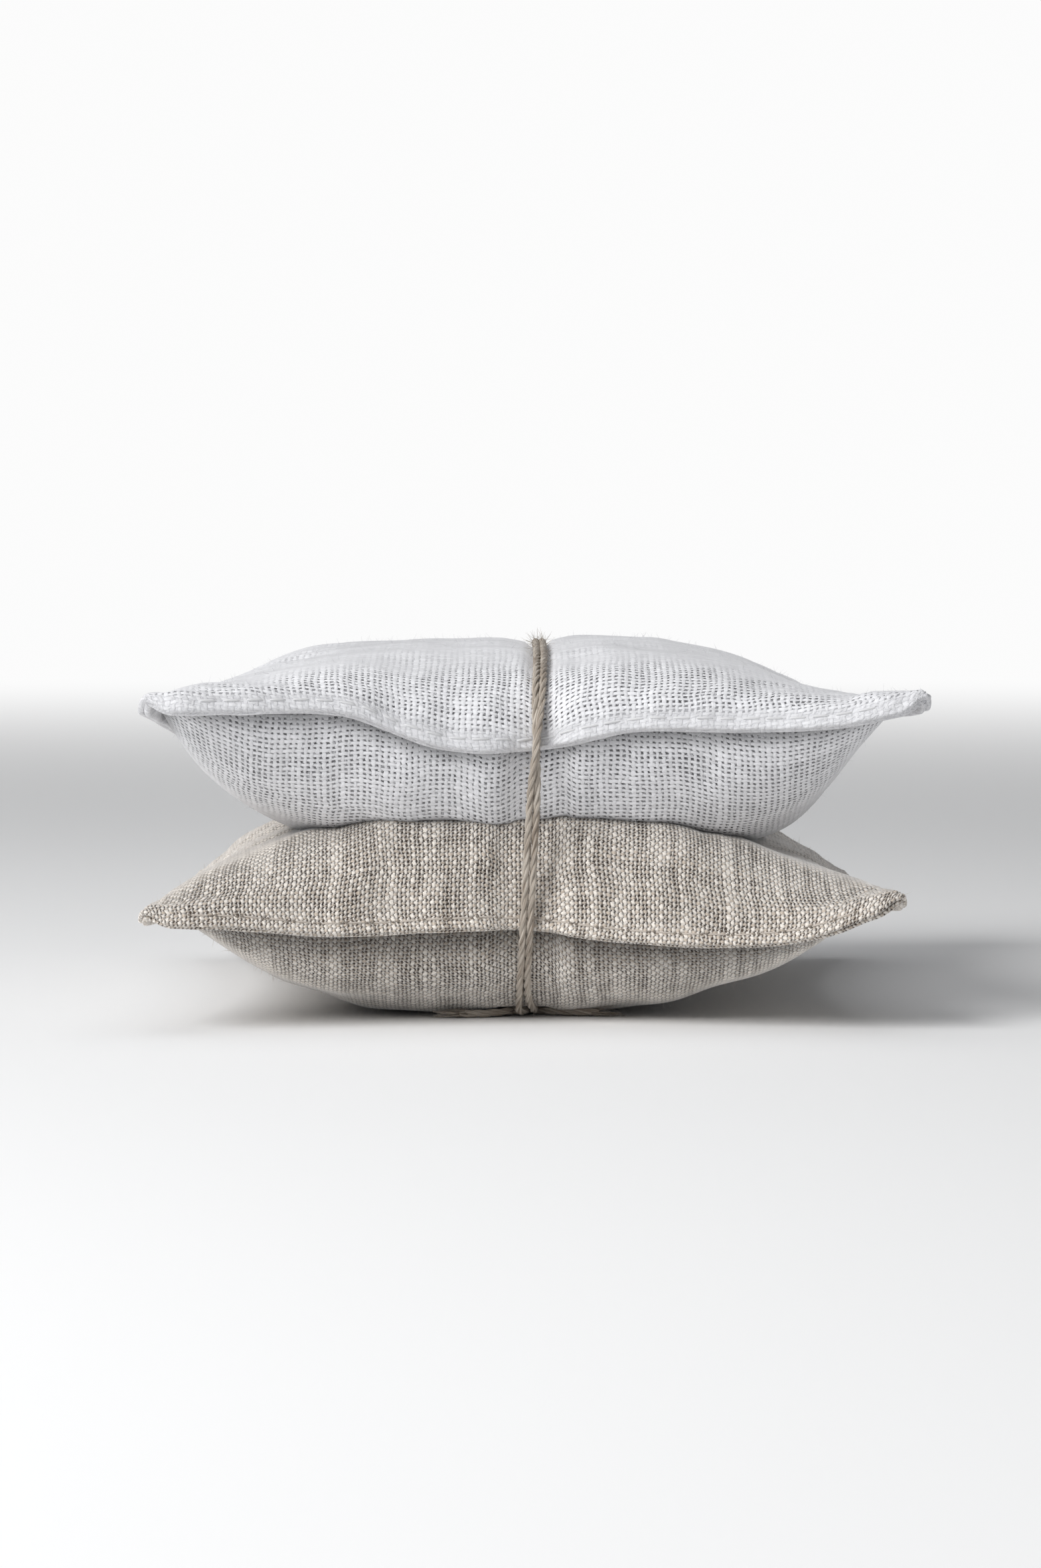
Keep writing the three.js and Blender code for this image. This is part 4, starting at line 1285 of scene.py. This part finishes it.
@lru_cache(maxsize=None)
def twine_route():
    """The whole twine, from the left tail through the knot and two turns to the right tail, and its knot."""
    looks = settings().twine
    radius, lane = looks.diameter / MM / 2, looks.lane / MM
    line, out = taut_turn(radius * TWINE_REST)
    under = line[:, 1] < UNDER_HEIGHT
    start = int(np.argmin(np.where(under, np.abs(line[:, 0] - KNOT_Y), np.inf)))
    line, out = np.roll(line, -start, axis=0), np.roll(out, -start, axis=0)
    if line[3, 0] > line[0, 0]:
        line, out = line[::-1], out[::-1]
    y, z = line.T
    knot = np.array([twine_x(z[0]) - lane, y[0], z[0]])
    from_knot = np.hypot(y - knot[1], z - knot[2])
    climbing = np.arange(len(line)) < len(line) / 2
    past = np.where(climbing, smooth(z, CROSS_Z - CROSS_REACH, CROSS_Z + CROSS_REACH), 1.0)
    over = np.where(climbing, bell(z - CROSS_Z, CROSS_REACH * CROSS_SHORT), 0) * radius * CROSS_OVER
    turns = []
    for way, lift in ((1, over), (-1, np.zeros_like(over))):
        side = lane * (2 * past - 1) * way
        side = side + np.where(side > 0, KNOT_ASIDE * bell(from_knot, KNOT_ROOM), 0)
        turns.append(np.stack([twine_x(z) + side, y + out[:, 0] * lift, z + out[:, 1] * lift], axis=1))
    away = from_knot > KNOT_AHEAD
    first_clear = int(np.argmax(away))
    last_clear = len(line) - int(np.argmax(away[::-1]))
    wound = np.concatenate([turns[0][first_clear:], turns[1][:last_clear]])
    left = bight(knot, 1, -1, looks.left_tail / MM, radius)
    right = bight(knot, -1, 1, looks.right_tail / MM, radius)
    whole = np.concatenate([left[::-1], wound, right])
    return softened(evenly(whole, ROUTE_STEP), 3), knot


def bight(knot, front, side, tail, radius):
    """One half of the knot: a strand that turns back through the other half and ends in a tail."""
    table = radius + 2 * TABLE_GAP
    points = []

    def place(ahead, aside, lift):
        points.append((knot[0] + aside, knot[1] - front * ahead, max(knot[2] - lift, table)))

    place(BIGHT_START, 0.0, 0.0)
    for angle in np.linspace(-BIGHT_TURN, BIGHT_TURN, 11):
        lift = 0.5 + front * 0.5 * math.cos(1.5 * angle)
        place(BIGHT_SHIFT - BIGHT_LONG * math.cos(angle), side * BIGHT_WIDE * math.sin(angle), lift)
    x, y, z = points[-1]
    out = TAIL_AHEAD if side > 0 else TAIL_AHEAD / 2
    bends = ((1.5, 0.12, 0.5), (0.4 * tail, 0.6, 1.0), (0.75 * tail, 0.95, 1.0), (tail, 1.0, 1.0))
    for run, part, low in bends:
        points.append((x + side * run, y - out * part, z + (table - z) * low))
    return softened(evenly(np.array(points), BIGHT_STEP), 2)


def floor_material(looks):
    """Pale, and for the camera alone white far from the bundle."""
    material, sketch, shader = blank_material("pale_floor")
    place = sketch.place()
    plain = tuple(looks.floor_colour)
    paler = tuple(min(1.0, c * 1.02) for c in plain)
    sketch.feed(shader["Base Color"], sketch.mix(sketch.noise(place, 3.0, 2.0), plain, paler))
    shader["Roughness"].default_value = 0.9
    away = sketch.node("ShaderNodeVectorMath", {"Vector": place}, operation="LENGTH").outputs["Value"]
    seen = sketch.node("ShaderNodeLightPath").outputs["Is Camera Ray"]
    glow = sketch.math("MULTIPLY", sketch.between(away, GLOW_FROM, GLOW_TO), seen)
    white = sketch.node("ShaderNodeEmission", {"Color": (1.0, 1.0, 1.0, 1.0), "Strength": GLOW})
    blend = sketch.node("ShaderNodeMixShader", {"Fac": glow})
    links = material.node_tree.links
    out = next(node for node in material.node_tree.nodes if node.type == "OUTPUT_MATERIAL")
    links.new(out.inputs["Surface"].links[0].from_socket, blend.inputs[1])
    links.new(white.outputs[0], blend.inputs[2])
    links.new(blend.outputs[0], out.inputs["Surface"])
    return material


def make_floor(looks):
    """A round floor that bends up to a wall all round."""
    rings = [(0.0, 0.0), (FLOOR_FLAT, 0.0)]
    for k in range(1, FLOOR_STEPS + 1):
        angle = math.pi / 2 * k / FLOOR_STEPS
        rings.append((FLOOR_FLAT + FLOOR_BEND * math.sin(angle), FLOOR_BEND * (1 - math.cos(angle))))
    rings.append((FLOOR_FLAT + FLOOR_BEND, FLOOR_WALL))
    angles = [2 * math.pi * k / FLOOR_SIDES for k in range(FLOOR_SIDES)]
    points = [(r * math.cos(a) / MM, r * math.sin(a) / MM, z / MM) for r, z in rings for a in angles]
    floor = add_mesh("floor", points, ring_faces(len(rings), FLOOR_SIDES))
    weld(floor.data)
    floor.data.materials.append(floor_material(looks))


def place_in_scene(name, data, place, way):
    """A lamp or camera at a place, looking some way."""
    holder = bpy.data.objects.new(name, data)
    holder.location = place
    holder.rotation_euler = way.to_track_quat("-Z", "Y").to_euler()
    bpy.context.scene.collection.objects.link(holder)
    return holder


class SACHETS_OT_stage(bpy.types.Operator):
    """Make the floor, the light and the camera"""

    bl_idname = "sachets.stage"
    bl_label = "Stage"

    def execute(self, context):
        looks = settings().stage
        make_floor(looks)
        world = bpy.data.worlds.new("studio")
        world.use_nodes = True
        sky = world.node_tree.nodes["Background"].inputs
        sky["Color"].default_value = SKY_COLOUR
        sky["Strength"].default_value = SKY_STRENGTH
        context.scene.world = world
        for name, place, aim, width, power in LAMPS:
            lamp = bpy.data.lights.new(name, "AREA")
            lamp.shape, lamp.size, lamp.energy = "DISK", width, power
            place_in_scene(name, lamp, place, Vector(aim) - Vector(place))
        camera = bpy.data.cameras.new("camera")
        camera.lens = looks.lens
        camera.sensor_width = SENSOR
        back = Vector((0, -math.cos(looks.elevation), math.sin(looks.elevation)))
        place = Vector(LOOK_AT) * MM + back * looks.distance
        context.scene.camera = place_in_scene("camera", camera, place, -back)
        context.scene.view_settings.view_transform = "Standard"
        return {"FINISHED"}


TWINE_STREAKS, THREAD_STREAKS = (260.0, 1.6), (900.0, 2.0)  # scales along, per m, and round a thread


class SACHETS_OT_twine(bpy.types.Operator):
    """Wind and knot the flax twine"""

    bl_idname = "sachets.twine"
    bl_label = "Twine"

    def execute(self, context):
        looks = settings().twine
        route, knot = twine_route()
        base = add_mesh("twine_line", route, [], [(i, i + 1) for i in range(len(route) - 1)])
        flax = fibre_material("flax", tuple(looks.light_colour), tuple(looks.dark_colour), *TWINE_STREAKS)
        values = {
            "Ply Radius": looks.diameter * PLY_RADIUS, "Twist Radius": looks.diameter * PLY_TWIST,
            "Lay": looks.lay, "Sides": PLY_SIDES, "Material": flax,
        }
        twine = grown("twine", base, twisted_tree(), values)
        finish_piece(twine, "flax_twine", "twine_winding", "twine_knot")
        return {"FINISHED"}


def make_cloth(name, sachet, other, slot, weave_values, light):
    """Both panels of a sachet, which another sachet lies close to."""
    material = linen_material(f"{name}_linen", sachet.looks, weave_values, light)
    for part, up in (("top", 1), ("bottom", -1)):
        piece, flat = cloth_panel(f"{name}_{part}_cloth", sachet, up, other)
        piece.data.materials.append(material)
        finish_piece(piece, slot, f"{name}_{part}_panel")


class SACHETS_OT_natural_cloth(bpy.types.Operator):
    """Make the natural sachet's two panels"""

    bl_idname = "sachets.natural_cloth"
    bl_label = "Natural cloth"

    def execute(self, context):
        make_cloth(
            "natural", natural_sachet(), white_sachet(), "natural_linen", NATURAL_WEAVE, NATURAL_LIGHT
        )
        return {"FINISHED"}


class SACHETS_OT_white_cloth(bpy.types.Operator):
    """Make the white sachet's two panels"""

    bl_idname = "sachets.white_cloth"
    bl_label = "White cloth"

    def execute(self, context):
        make_cloth("white", white_sachet(), natural_sachet(), "white_linen", WHITE_WEAVE, WHITE_LIGHT)
        return {"FINISHED"}


# Shares of half a stitch along it and of its thickness, and a needle hole in mm
STITCH_SHAPE = ((-1.0, 0.35), (-0.9, 0.75), (-0.5, 0.95), (0.0, 1.0), (0.5, 0.95), (0.9, 0.75), (1.0, 0.35))
PIT_SHAPE = ((-0.24, 0.03), (-0.14, 0.13), (0.0, 0.17), (0.14, 0.13), (0.24, 0.03))


def seam_places(sachet, pitch):
    """Where the stitches lie on both panels, the ways they face and the ways they run."""
    places, facing, heading = [], [], []
    for outer, up in ((sachet.top_outer, 1), (sachet.bottom_outer, -1)):
        for run in sachet.edge_line(outer, STITCH_IN):
            lengths = run_lengths(run)
            middle = lengths[len(lengths) // 2]
            count = math.floor((lengths[-1] - CORNER_FREE - middle) / pitch)
            wanted = np.arange(-count, count) * pitch + pitch / 2 + middle
            centre, ahead = (
                np.stack([np.interp(at, lengths, run[:, k]) for k in range(3)], axis=1)
                for at in (wanted, wanted + STITCH_AHEAD)
            )
            way = unit(ahead - centre)
            outward = centre - np.array([sachet.centre, 0, sachet.middle])
            outward[:, 2] = 0
            outward = unit(outward - way * np.sum(way * outward, axis=1, keepdims=True))
            face = np.cross(way, outward)
            face *= np.sign(face[:, 2:3]) * up
            face = unit(face + outward * math.tan(sachet.droop) * STITCH_LEAN * up)
            places.append(centre + face * STITCH_LIFT)
            facing.append(face)
            heading.append(way)
    return [np.concatenate(runs) for runs in (places, facing, heading)]


def sewn_shapes(name, shape, material, places, facing, heading):
    """A copy of a small shape at every place, after which the shape itself goes."""
    base = add_mesh(f"{name}_points", places, [])
    for label, vectors in (("facing", facing), ("heading", heading)):
        made = base.data.attributes.new(label, "FLOAT_VECTOR", "POINT")
        made.data.foreach_set("vector", vectors.astype(np.float32).reshape(-1))
    piece = grown(name, base, stitch_tree(), {"Stitch": shape, "Material": material})
    bpy.data.objects.remove(shape)
    return piece


def add_needle_holes(piece, name, looks, long, places, facing, heading):
    """Small dark pits at both ends of every stitch, painted as the shade of needle holes, joined to the
    stitches.
    """
    out = HOLE_OUT * long * heading
    ends = np.concatenate([places - out, places + out])
    shade = tuple(c * HOLE_SHADE for c in looks.weft_colour)
    dark = fibre_material(f"{name}_needle_hole_shade", shade, tuple(c * 0.6 for c in shade), *THREAD_STREAKS)
    pit = turned_shape("pit", PIT_SHAPE, 6)
    pits = sewn_shapes(f"{name}_holes", pit, dark, ends, np.tile(facing, (2, 1)), np.tile(heading, (2, 1)))
    with bpy.context.temp_override(active_object=piece, selected_editable_objects=[piece, pits]):
        bpy.ops.object.join()


def make_stitches(name, sachet, slot, shade_holes):
    """The stitched seam of a sachet, above and below."""
    looks = sachet.looks
    pitch = looks.stitch_pitch / MM
    long, thick = pitch * STITCH_LONG, looks.stitch / MM / 2
    seam = seam_places(sachet, pitch)
    stitch = turned_shape("stitch", [(long * at, thick * part) for at, part in STITCH_SHAPE], 7, bend=-0.09)
    tint = tuple(looks.thread_colour)
    thread = fibre_material(f"{name}_sewing_thread", tint, tuple(c * 0.7 for c in tint), *THREAD_STREAKS)
    piece = sewn_shapes(f"{name}_stitches", stitch, thread, *seam)
    # dark pits painted as the shade of needle holes
    if shade_holes:
        add_needle_holes(piece, name, looks, long, *seam)
    finish_piece(piece, slot, f"{name}_needle_thread", f"{name}_bobbin_thread")


class SACHETS_OT_stitches(bpy.types.Operator):
    """Sew both sachets"""

    bl_idname = "sachets.stitches"
    bl_label = "Stitches"

    def execute(self, context):
        make_stitches("natural", natural_sachet(), "natural_thread", True)
        make_stitches("white", white_sachet(), "white_thread", False)
        return {"FINISHED"}


BUD_SHAPE = ((-1.0, 0.2), (-0.6, 0.62), (-0.1, 0.85), (0.4, 0.8), (0.8, 0.55), (1.0, 0.2))


def make_buds(name, sachet, looks, material):
    """Dried buds just under the cloth, on a closed core of the same filling."""
    picked = np.flatnonzero(np.abs(sachet.lines) < sachet.sewn * CORE_REACH)[::CORE_STEP]
    cut = np.ix_(picked, picked)
    top = sachet.top_inner[cut] - normals(sachet.top_inner)[cut] * BUD_DEPTH
    bottom = sachet.bottom_inner[cut] + normals(sachet.bottom_inner)[cut] * BUD_DEPTH
    middle = (top + bottom) / 2
    thin = top[..., 2] < bottom[..., 2] + CORE_THIN
    top[thin] = middle[thin] + (0, 0, CORE_THIN / 2)
    bottom[thin] = middle[thin] - (0, 0, CORE_THIN / 2)
    for panel in (top, bottom):
        for edge in (np.s_[0], np.s_[-1], np.s_[:, 0], np.s_[:, -1]):
            panel[edge] = middle[edge]
    points = np.concatenate([top.reshape(-1, 3), bottom.reshape(-1, 3)])
    faces = slab_faces(*top.shape[:2], 1)
    core = add_mesh(f"{name}_core", points, faces.tolist())
    weld(core.data)
    core.data.materials.append(material)
    thick = np.tile((top[..., 2] - bottom[..., 2]).reshape(-1), 2)
    deep = faces[(thick[faces] > BUD_ROOM).all(axis=1)]
    base = add_mesh(f"{name}_bud_ground", points, deep.tolist())
    long = looks.bud / MM / 2
    bud = turned_shape("bud", [(long * at, radius) for at, radius in BUD_SHAPE], 6, bend=0.03)
    corners = len(bud.data.vertices)
    values = {
        "Shape": bud, "Spacing": looks.spacing, "Density": BUD_DENSITY, "Seed": BUD_SEEDS[name],
        "Least Tilt": -BUD_TILT, "Most Tilt": BUD_TILT, "Least Size": BUD_SIZES[0], "Most Size": BUD_SIZES[1],
        "Material": material,
    }
    piece = grown(f"{name}_buds", base, scatter_tree(), values)
    bpy.data.objects.remove(bud)
    x, y, z = (spots_of(piece.data) / MM).T.astype(float)
    u, v = sachet.locate(x, y)
    roof, ground = (
        sampled(sachet.lines, face[..., 2], u, v) for face in (sachet.top_inner, sachet.bottom_inner)
    )
    shows = ((z > roof - BUD_GAP) | (z < ground + BUD_GAP)).reshape(-1, corners).any(axis=1)
    work = bmesh.new()
    work.from_mesh(piece.data)
    out = [corner for corner in work.verts if shows[corner.index // corners]]
    bmesh.ops.delete(work, geom=out, context="VERTS")
    work.from_mesh(core.data)
    work.to_mesh(piece.data)
    work.free()
    bpy.data.objects.remove(core)
    finish_piece(piece, "lavender", f"{name}_lavender_fill")


class SACHETS_OT_lavender(bpy.types.Operator):
    """Fill both sachets with dried lavender"""

    bl_idname = "sachets.lavender"
    bl_label = "Lavender"

    def execute(self, context):
        looks = settings().lavender
        material = lavender_material(looks)
        for name, sachet in (("natural", natural_sachet()), ("white", white_sachet())):
            make_buds(name, sachet, looks, material)
        return {"FINISHED"}


# Stray fibres: length, thickness and spacing, most per square metre, least and most tilt, seed
FUZZ = {
    "natural": (1.0, 0.016, 0.4, 9e4, (-1.0, -0.1), 21),
    "white": (1.0, 0.016, 0.4, 1.2e5, (-1.0, -0.1), 22),
    "twine": (1.7, 0.022, 0.4, 6e5, (-1.0, -0.1), 23),
    "twine_end": (FRAY, 0.07, 0.13, 2e8, (-1.55, -1.1), 24),
    "twine_loose": (FRAY * 0.7, 0.035, 0.16, 1e8, (-1.5, -0.5), 25),
}
HAIR_SHAPE = ((0.0, 1.0), (0.35, 0.9), (0.7, 0.7), (1.0, 0.3))
HAIR_BEND, HAIR_SIZES = 0.22, (0.4, 1.2)
LOOSE_WAY = (-1.0, -0.5, 0.5)  # the way the loose fibres at the front of the twine go


def make_fuzz(name, ground, slot, light, dark):
    """Fine fibres that stand off a surface, none of them below the table."""
    long, thick, spacing, density, tilt, seed = FUZZ[name]
    profile = [(long * at, thick * part) for at, part in HAIR_SHAPE]
    hair = turned_shape("hair", profile, 3, bend=HAIR_BEND / long)
    values = {
        "Shape": hair, "Spacing": spacing * MM, "Density": density, "Seed": seed,
        "Least Tilt": tilt[0], "Most Tilt": tilt[1], "Least Size": HAIR_SIZES[0], "Most Size": HAIR_SIZES[1],
        "Material": fuzz_material(f"{name}_fibres", light, dark),
    }
    piece = grown(f"{name}_fuzz", ground, scatter_tree(), values)
    bpy.data.objects.remove(hair)
    spots = spots_of(piece.data)
    spots[:, 2] = np.maximum(spots[:, 2], TABLE_GAP * MM)
    piece.data.vertices.foreach_set("co", spots.reshape(-1))
    piece.data.update()
    finish_piece(piece, slot)


def fray_ground(spots, ways, radius):
    """Small discs at places on the twine, facing the way its loose fibres go."""
    sides, points, faces = 8, [], []
    for spot, way in zip(spots, ways):
        way = np.asarray(way, float) / np.linalg.norm(way)
        aside = np.cross(way, (0, 0, 1.0))
        aside /= np.linalg.norm(aside)
        up = np.cross(aside, way)
        start = len(points)
        for k in range(sides):
            angle = 2 * math.pi * k / sides
            points.append(spot + radius * (math.cos(angle) * aside + math.sin(angle) * up))
        faces.append([start + k for k in range(sides)][::-1])
    return add_mesh("fray_ground", points, faces)


def cloth_ground(name, sachet, step=3):
    """The outside of both panels, coarser."""
    top, bottom = (outer[::step, ::step] for outer in (sachet.top_outer, sachet.bottom_outer))
    points = np.concatenate([top.reshape(-1, 3), bottom.reshape(-1, 3)])
    return add_mesh(f"{name}_ground", points, slab_faces(*top.shape[:2], 1).tolist())


class SACHETS_OT_fuzz(bpy.types.Operator):
    """Raise stray fibres on the linen and the twine"""

    bl_idname = "sachets.fuzz"
    bl_label = "Fuzz"

    def execute(self, context):
        for name, sachet in (("natural", natural_sachet()), ("white", white_sachet())):
            light, dark = tuple(sachet.looks.warp_colour), tuple(sachet.looks.weft_colour)
            make_fuzz(name, cloth_ground(name, sachet), f"{name}_linen", light, dark)
        looks = settings().twine
        ground = bpy.data.objects.new("twine_ground", bpy.data.objects["twine"].data.copy())
        context.scene.collection.objects.link(ground)
        light, dark = tuple(looks.light_colour), tuple(looks.dark_colour)
        make_fuzz("twine", ground, "flax_twine", light, dark)
        route, _ = twine_route()
        radius = looks.diameter / MM / 2
        ends = fray_ground([route[2], route[-3]], [route[0] - route[4], route[-1] - route[-5]], radius)
        make_fuzz("twine_end", ends, "flax_twine", light, dark)
        climbing = np.flatnonzero((route[:, 1] < 0) & (np.abs(route[:, 2] - FRAY_HEIGHT) < 0.4))
        loose = fray_ground([route[climbing[0]]], [LOOSE_WAY], radius * 0.7)
        make_fuzz("twine_loose", loose, "flax_twine", light, light)
        return {"FINISHED"}


class SACHETS_PT_bundle(bpy.types.Panel):
    """The bundle's sizes, colours and steps"""

    bl_label = "Sachet bundle"
    bl_idname = "SACHETS_PT_bundle"
    bl_space_type = "VIEW_3D"
    bl_region_type = "UI"
    bl_category = "Sachets"

    def draw(self, context):
        for group in ("natural", "white", "twine", "lavender", "stage"):
            looks = getattr(settings(), group)
            box = self.layout.box()
            box.label(text=group.capitalize())
            for key in type(looks).__annotations__:
                box.prop(looks, key)
        for step in STEPS:
            self.layout.operator(step.bl_idname)


STEPS = (
    SACHETS_OT_stage, SACHETS_OT_twine, SACHETS_OT_lavender, SACHETS_OT_natural_cloth, SACHETS_OT_white_cloth,
    SACHETS_OT_stitches, SACHETS_OT_fuzz,
)
GROUPS = (NaturalLinen, WhiteLinen, FlaxTwine, Lavender, StudioStage, BundleSettings)
CLASSES = (*GROUPS, *STEPS, SACHETS_PT_bundle)


def register():
    for made in CLASSES:
        bpy.utils.register_class(made)
    bpy.types.Scene.sachet_bundle = bpy.props.PointerProperty(type=BundleSettings)


def unregister():
    del bpy.types.Scene.sachet_bundle
    for made in reversed(CLASSES):
        bpy.utils.unregister_class(made)


def main():
    register()
    bpy.ops.sachets.stage()
    bpy.ops.sachets.twine()
    bpy.ops.sachets.lavender()
    bpy.ops.sachets.natural_cloth()
    bpy.ops.sachets.white_cloth()
    bpy.ops.sachets.stitches()
    bpy.ops.sachets.fuzz()


if __name__ == "__main__":
    main()
